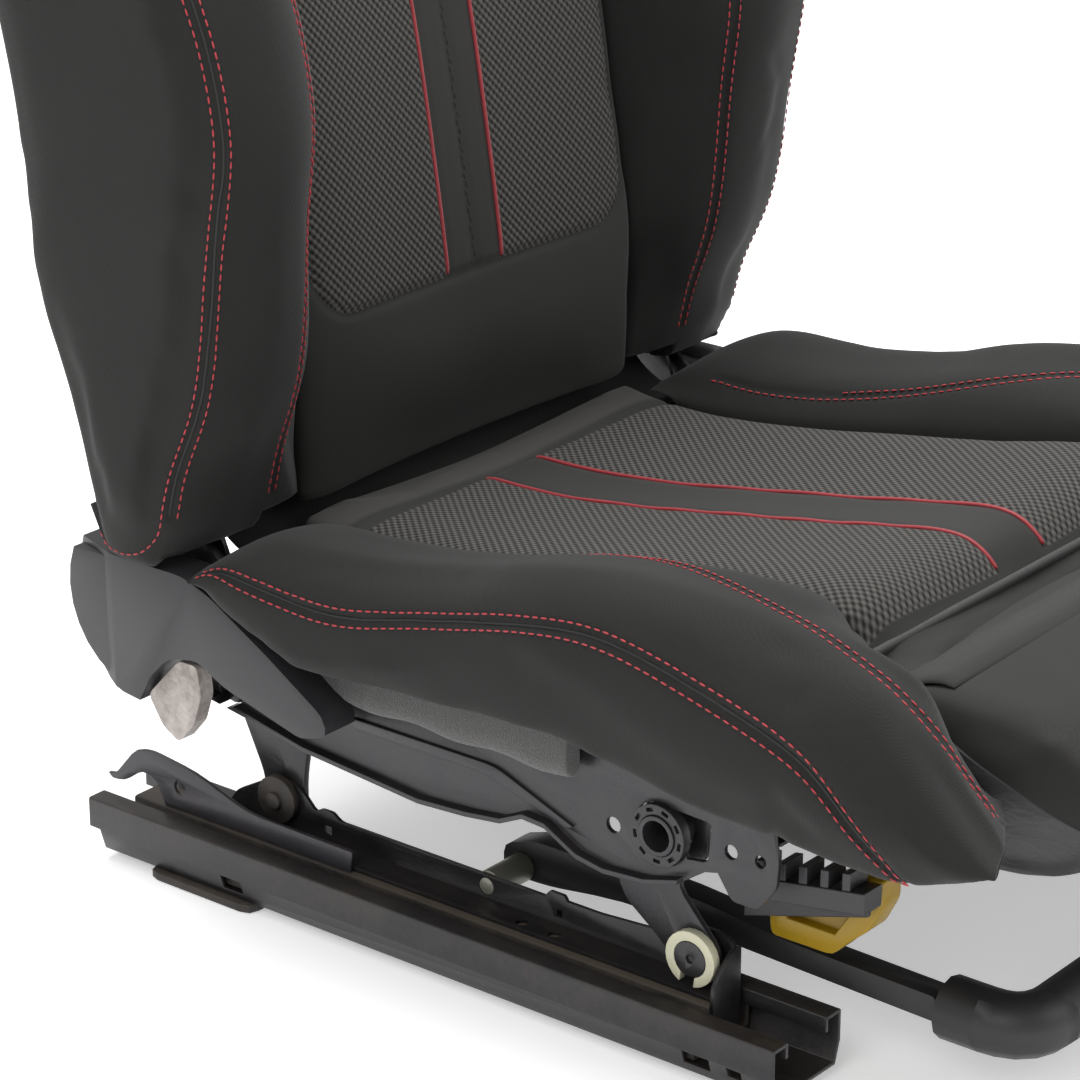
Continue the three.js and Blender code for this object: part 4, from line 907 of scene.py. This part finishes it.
def back_bolster(side, s):
    loops = []
    for z in np.concatenate([np.linspace(209, 260, 10), np.linspace(268, 792, 84)]):
        x, f, r, w = LEAN(z), FORWARD(z), REAR(z), WIDE(z)
        loop = [
            (x - 57, 151), (x - 4, 150.5), (x + f * 0.34, 157), (x + f * 0.66, 170),
            (x + f * 0.87, 190), (x + f * 0.99, 214), (x + f, w - 24), (x + f - 4, w - 9),
            (x + f - 12, w - 1), (x + (f + r) / 2, w + 0.5), (x + r + 12, w - 1),
            (x + r + 2, w - 5), (x + r + 1, w - 16), (x + r + 2, 230),
            (x - 57, 227), (x - 57, 190),
        ]
        loops.append([(px, s * y, z) for px, y in spline(loop, 84, closed=True)])
    piece = skin(f"back_bolster_{side}", domed(loops, 7), MATERIALS["cloth"])
    padded(piece, "backrest", cap=3.5)
    clear_recliner(piece)
    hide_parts(f"back_bolster_{side}")

    heights = np.linspace(238, 786, 50)
    chin = [(38, s * 262, 212), (56, s * 262, 208), (78, s * 262, 213), (93, s * 261, 225)]
    first = chin + [(LEAN(z) + FORWARD(z) - 12, s * (WIDE(z) - 1), z) for z in heights]
    second = [(LEAN(z) + FORWARD(z) - 4, s * (WIDE(z) - 8.5), z) for z in heights]
    middle = [tuple((np.array(a) + np.array(b)) / 2) for a, b in zip(first[4:], second)]
    inner = [(LEAN(z) + FORWARD(z) * 0.87, s * 190, z) for z in heights]
    inner_2 = [(LEAN(z) + FORWARD(z) * 0.83, s * 184, z) for z in heights]
    rows = [draped(piece, row, 380, 0.2) for row in (first, second, inner, inner_2)]
    spots, normals = draped(piece, middle, 380)
    groove(piece, middle, 2.6, 2.2)
    groove(piece, [tuple((np.array(a) + np.array(b)) / 2) for a, b in zip(inner, inner_2)], 2.0, 1.2)
    stitch_rows(f"back_stitches_{side}", rows, "backrest", MATERIALS["red_thread"])
    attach(tube(f"back_seam_{side}", spots - normals * 0.0019, 0.8, MATERIALS["dark_thread"], 6),
            "backrest")
    return piece


LEAN_BACK, LEAN_FORWARD = math.radians(50), math.radians(10)  # the recline joint's reach
STEEPEST, FLATTEST = math.radians(98), math.radians(50)
COVER_IN, COVER_OUT = 0.188, 0.2515  # the cover's side of the bolster, from the middle
COVER_REACH = 0.0605
FRAME_RISE, COVER_RISE = 0.033, 0.029  # heights above the axis to stay over when leaned
BOLSTER_FOOT = 223


def clear_recliner(piece):
    """Keeps the bolster's lower end clear of the recliner cover over the backrest's travel."""
    co = corners_of(piece)
    dx, dz = co[:, 0] - recline[0], co[:, 2] - recline[2]
    radius = np.hypot(dx, dz)
    y = np.abs(co[:, 1])
    turn = np.where(dz > 0, np.maximum(np.arctan2(dz, dx), FLATTEST), math.pi)
    angle = np.minimum(turn, STEEPEST)
    leaned = np.maximum(np.sin(angle + LEAN_BACK), 0.05)
    upright = np.maximum(np.sin(angle - LEAN_FORWARD), 0.05)
    needed = np.minimum(COVER_REACH, np.maximum(FRAME_RISE / leaned, COVER_RISE / upright))
    inside = (radius < needed) & (y > COVER_IN) & (y < COVER_OUT)
    co[inside, 0] = recline[0] + (needed * np.cos(turn))[inside]
    co[inside, 2] = recline[2] + (needed * np.sin(turn))[inside]
    outboard = (radius < 0.064) & (y >= COVER_OUT)
    co[outboard, 1] = np.sign(co[outboard, 1]) * np.maximum(y[outboard], 0.2540)
    foot = at(0, 0, BOLSTER_FOOT)[2]
    low = (y <= COVER_IN) & (co[:, 2] < foot)
    co[low, 2] = foot + (co[low, 2] - foot) * 0.1
    move_to(piece, co)


def back_panel():
    loops = []
    for z in np.linspace(219, 806, 104):
        x = LEAN(z)
        crown = 5 * math.exp(-((z - 268) / 34) ** 2)
        h = PANEL_HALF
        loop = [(x - 57, -h + 3), (x - 57, h - 3), (x - 50, h), (x - 8, h), (x + 1, h - 4),
                (x + 4, h * 0.76), (x + 1 + crown, h * 0.36), (x + crown, 0), (x + 1 + crown, -h * 0.36),
                (x + 4, -h * 0.76), (x + 1, -h + 4), (x - 8, -h), (x - 50, -h)]
        loops.append([(px, y, z) for px, y in spline(loop, 110, closed=True)])
    piece = skin("back_panel", domed(loops, 6), MATERIALS["back_panel"])
    padded(piece, "backrest", cap=2.0)
    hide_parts("back_pad")
    corner, half, low = 34, 139, 316
    edge = [(-half, z) for z in np.linspace(790, low + corner + 10, 30)]
    edge += [(-half + corner * (1 - math.cos(a)), low + corner * (1 - math.sin(a)))
             for a in np.linspace(0.15, math.pi / 2, 5)]
    edge += [(y, low) for y in np.linspace(-half + corner + 15, 0, 7)]
    edge += [(-y, z) for y, z in reversed(edge[:-1])]
    groove(piece, [(LEAN(z) + 2, y, z) for y, z in edge], 2.2, 2.2)
    for s in (-1, 1):
        lines = [(LEAN(z) + 2, s * 24, z) for z in np.linspace(318, 796, 40)]
        groove(piece, lines, 2.0, 1.2)
        spots, _ = draped(piece, lines, 260, 0.3)
        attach(tube(f"back_piping_{'right' if s < 0 else 'left'}", spots, 1.25,
                     MATERIALS["red_piping"]), "backrest")
    zigzag = [(LEAN(z) + 1, (2.2 if i % 2 else -2.2), z)
              for i, z in enumerate(np.linspace(320, 790, 95))]
    spots, normals = draped(piece, zigzag, 380, 0.15)
    groove(piece, [(LEAN(z) + 1, 0, z) for z in np.linspace(318, 790, 30)], 3, 1.0)
    stitch_rows("back_zigzag", [(spots, normals)], "backrest", MATERIALS["dark_thread"], 5.2,
                (4.6, 0.9, 0.8))
    return piece


# ------------------------------------------------------------ hard pieces from the CAD


def tuck_shell(mesh):
    """Draws the rear shell's foot in behind the bolsters and narrows it with them at the top."""
    top = at(0, 0, 150)[2]
    for v in mesh.vertices:
        share = min(1, max(0, (at(0, 0, 470)[2] - v.co.z) / 0.12))
        v.co.x += 0.010 * share
        v.co.y *= 1 - 0.11 * share
        height = 150 + (v.co.z - top) * 1000
        if height > 560:
            v.co.y *= (WIDE(min(height, 800)) - 3) / (WIDE(560) - 3)


FACET_DEPTH = 0.002  # how near the cover's outer side a point is to be moved
FACET_SLOPE = 0.35


def slant_cover(mesh):
    """Cuts the recliner cover's side into a flat face and a facet that falls away behind it."""
    ridge = at(47, 0, 0)[0]
    work = bmesh.new()
    work.from_mesh(mesh)
    everything = work.verts[:] + work.edges[:] + work.faces[:]
    bmesh.ops.bisect_plane(work, geom=everything, plane_co=(ridge, 0, 0), plane_no=(1, 0, 0))
    outer = min(v.co.y for v in work.verts)
    for v in work.verts:
        behind = ridge - v.co.x
        if v.co.y < outer + FACET_DEPTH and behind > 0:
            v.co.y += behind * FACET_SLOPE
    work.to_mesh(mesh)
    work.free()


WARPS = {"back_shell": tuck_shell, "recliner_cover_right": slant_cover}


def refined(name, material, bevel=0.5, angle=32, segments=2):
    """A bevelled, smooth-shaded copy of a CAD node that stands for it."""
    node = NODES[name]
    mesh = node.data.copy()
    mesh.materials.clear()
    mesh.materials.append(material)
    work = bmesh.new()
    work.from_mesh(mesh)
    bmesh.ops.remove_doubles(work, verts=work.verts, dist=2e-6)
    bmesh.ops.dissolve_limit(work, angle_limit=math.radians(1), verts=work.verts, edges=work.edges)
    work.to_mesh(mesh)
    work.free()
    if name in WARPS:
        WARPS[name](mesh)
    piece = bpy.data.objects.new(f"{name}_finish", mesh)
    bpy.context.scene.collection.objects.link(piece)
    if bevel:
        modifier = piece.modifiers.new("Bevel", "BEVEL")
        modifier.width = bevel / 1000
        modifier.segments = segments
        modifier.limit_method = "ANGLE"
        modifier.angle_limit = math.radians(angle)
        modifier.use_clamp_overlap = True
        modifier.harden_normals = False
        applied(piece)
    piece.data.shade_smooth()
    piece.data.set_sharp_from_angle(angle=math.radians(angle + 8))
    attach(piece, BODY_OF[name])
    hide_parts(name)
    return piece


SPECIAL = {"lower_rail": "rail_steel", "rear_hook": "hook_steel", "release_grip": "grip_plastic",
           "release_bar": "grip_plastic"}
BEVELS = {"recliner_cover": 2.2, "outer_trim": 2.2, "lower_rail": 0.6, "upper_rail": 0.5,
          "side_member": 0.7, "release_bar": 2.0, "recline_lever": 2.5, "height_lever": 2.5,
          "nylon_washer": 0.4, "front_pivot_bolt": 0.5, "connector_housing": 0.8,
          "fleece_flap": 0.0, "release_grip": 0.0, "head_posts": 0.0, "torsion_tube": 0.3,
          "seat_pan": 0.3, "thigh_tray": 0.6, "back_shell": 0.8}


def best(table, name, otherwise):
    return next((value for key, value in table.items() if name.startswith(key)), otherwise)


SOFT = {"cushion_pad", "cushion_bolster_right", "cushion_bolster_left", "thigh_pad", "back_pad",
        "back_bolster_right", "back_bolster_left", "head_pad"}


def hard_pieces():
    for name in NODES:
        if name in SOFT:
            continue
        key = best(SPECIAL, name, SLOT_OF[name])
        refined(name, MATERIALS[key], best(BEVELS, name, 0.4))


# ------------------------------------------------------------ head restraint


def head_pad():
    low, high = (np.array(corner) * 1000 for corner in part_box("head_pad"))
    lean = math.tan(math.radians(16))
    rows = [(0.0, 0.78, 0.60), (0.06, 0.88, 0.74), (0.18, 0.97, 0.90), (0.36, 1.0, 1.0),
            (0.58, 0.99, 1.0), (0.78, 0.94, 0.92), (0.92, 0.84, 0.74), (1.0, 0.72, 0.5)]
    rows = spline(rows, 26)
    tall = high[2] - low[2]
    offset = np.array(at(0, 0, 0)) * 1000
    middle = (low[0] + high[0]) / 2
    loops = []
    for share, wide, deep in rows:
        z = low[2] + 6 + share * (tall - 12)
        x = middle - (z - (low[2] + high[2]) / 2) * lean
        w, d = wide * 134, deep * 47
        loop = [(x + d, -w * 0.6), (x + d * 1.04, 0), (x + d, w * 0.6), (x + d * 0.72, w * 0.9),
                (x, w), (x - d * 0.72, w * 0.86), (x - d, w * 0.5), (x - d, -w * 0.5),
                (x - d * 0.72, -w * 0.86), (x, -w), (x + d * 0.72, -w * 0.9)]
        loops.append([(px - offset[0], y, z - offset[2]) for px, y in spline(loop, 80, closed=True)])
    piece = skin("head_cushion", domed(loops, 9), MATERIALS["cloth"])
    padded(piece, "headrest", cap=4.0)
    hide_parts("head_pad")
    return piece


hard_pieces()
cushion_panel()
thigh_pad()
front_band()
crease_tuck()
connector_bracket()
back_panel()
head_pad()
for side, s in (("right", -1), ("left", 1)):
    cushion_bolster(side, s)
    back_bolster(side, s)
    felt_strip(side, s)


# ------------------------------------------------------------ studio


def studio():
    scene = bpy.context.scene
    middle = (CAD_LOW + CAD_HIGH) / 2
    size = 14.0
    floor = piece_from("floor", [(-size, -size, 0), (size, -size, 0), (size, size, 0),
                                 (-size, size, 0)], [(0, 1, 2, 3)], MATERIALS["floor"], False)
    floor.location.z = CAD_LOW[2] - 0.0005
    world = bpy.data.worlds.new("studio")
    world.use_nodes = True
    world.node_tree.nodes["Background"].inputs["Color"].default_value = (1, 1, 1, 1)
    world.node_tree.nodes["Background"].inputs["Strength"].default_value = 0.42
    scene.world = world
    scene.view_settings.view_transform = "Standard"
    lights = (("top", (-0.5, 0.5, 3.6), 3.2, 190), ("key", (0.6, -3.0, 2.6), 2.0, 42),
              ("front", (3.2, 1.2, 2.2), 2.2, 30))
    for name, (x, y, z), width, power in lights:
        light = bpy.data.lights.new(name, "AREA")
        light.shape = "SQUARE"
        light.size = width
        light.energy = power
        lamp = bpy.data.objects.new(name, light)
        lamp.location = middle + Vector((x, y, z - middle.z))
        lamp.rotation_euler = (middle - lamp.location).to_track_quat("-Z", "Y").to_euler()
        scene.collection.objects.link(lamp)
    lens = bpy.data.cameras.new("camera")
    lens.lens, lens.sensor_width = 126.67, 36
    camera = bpy.data.objects.new("camera", lens)
    camera.location = (1.19357, -1.6093, 0.9595)
    camera.rotation_euler = (math.radians(90 - 21.2), 0, math.radians(38.7))
    scene.collection.objects.link(camera)
    scene.camera = camera


studio()
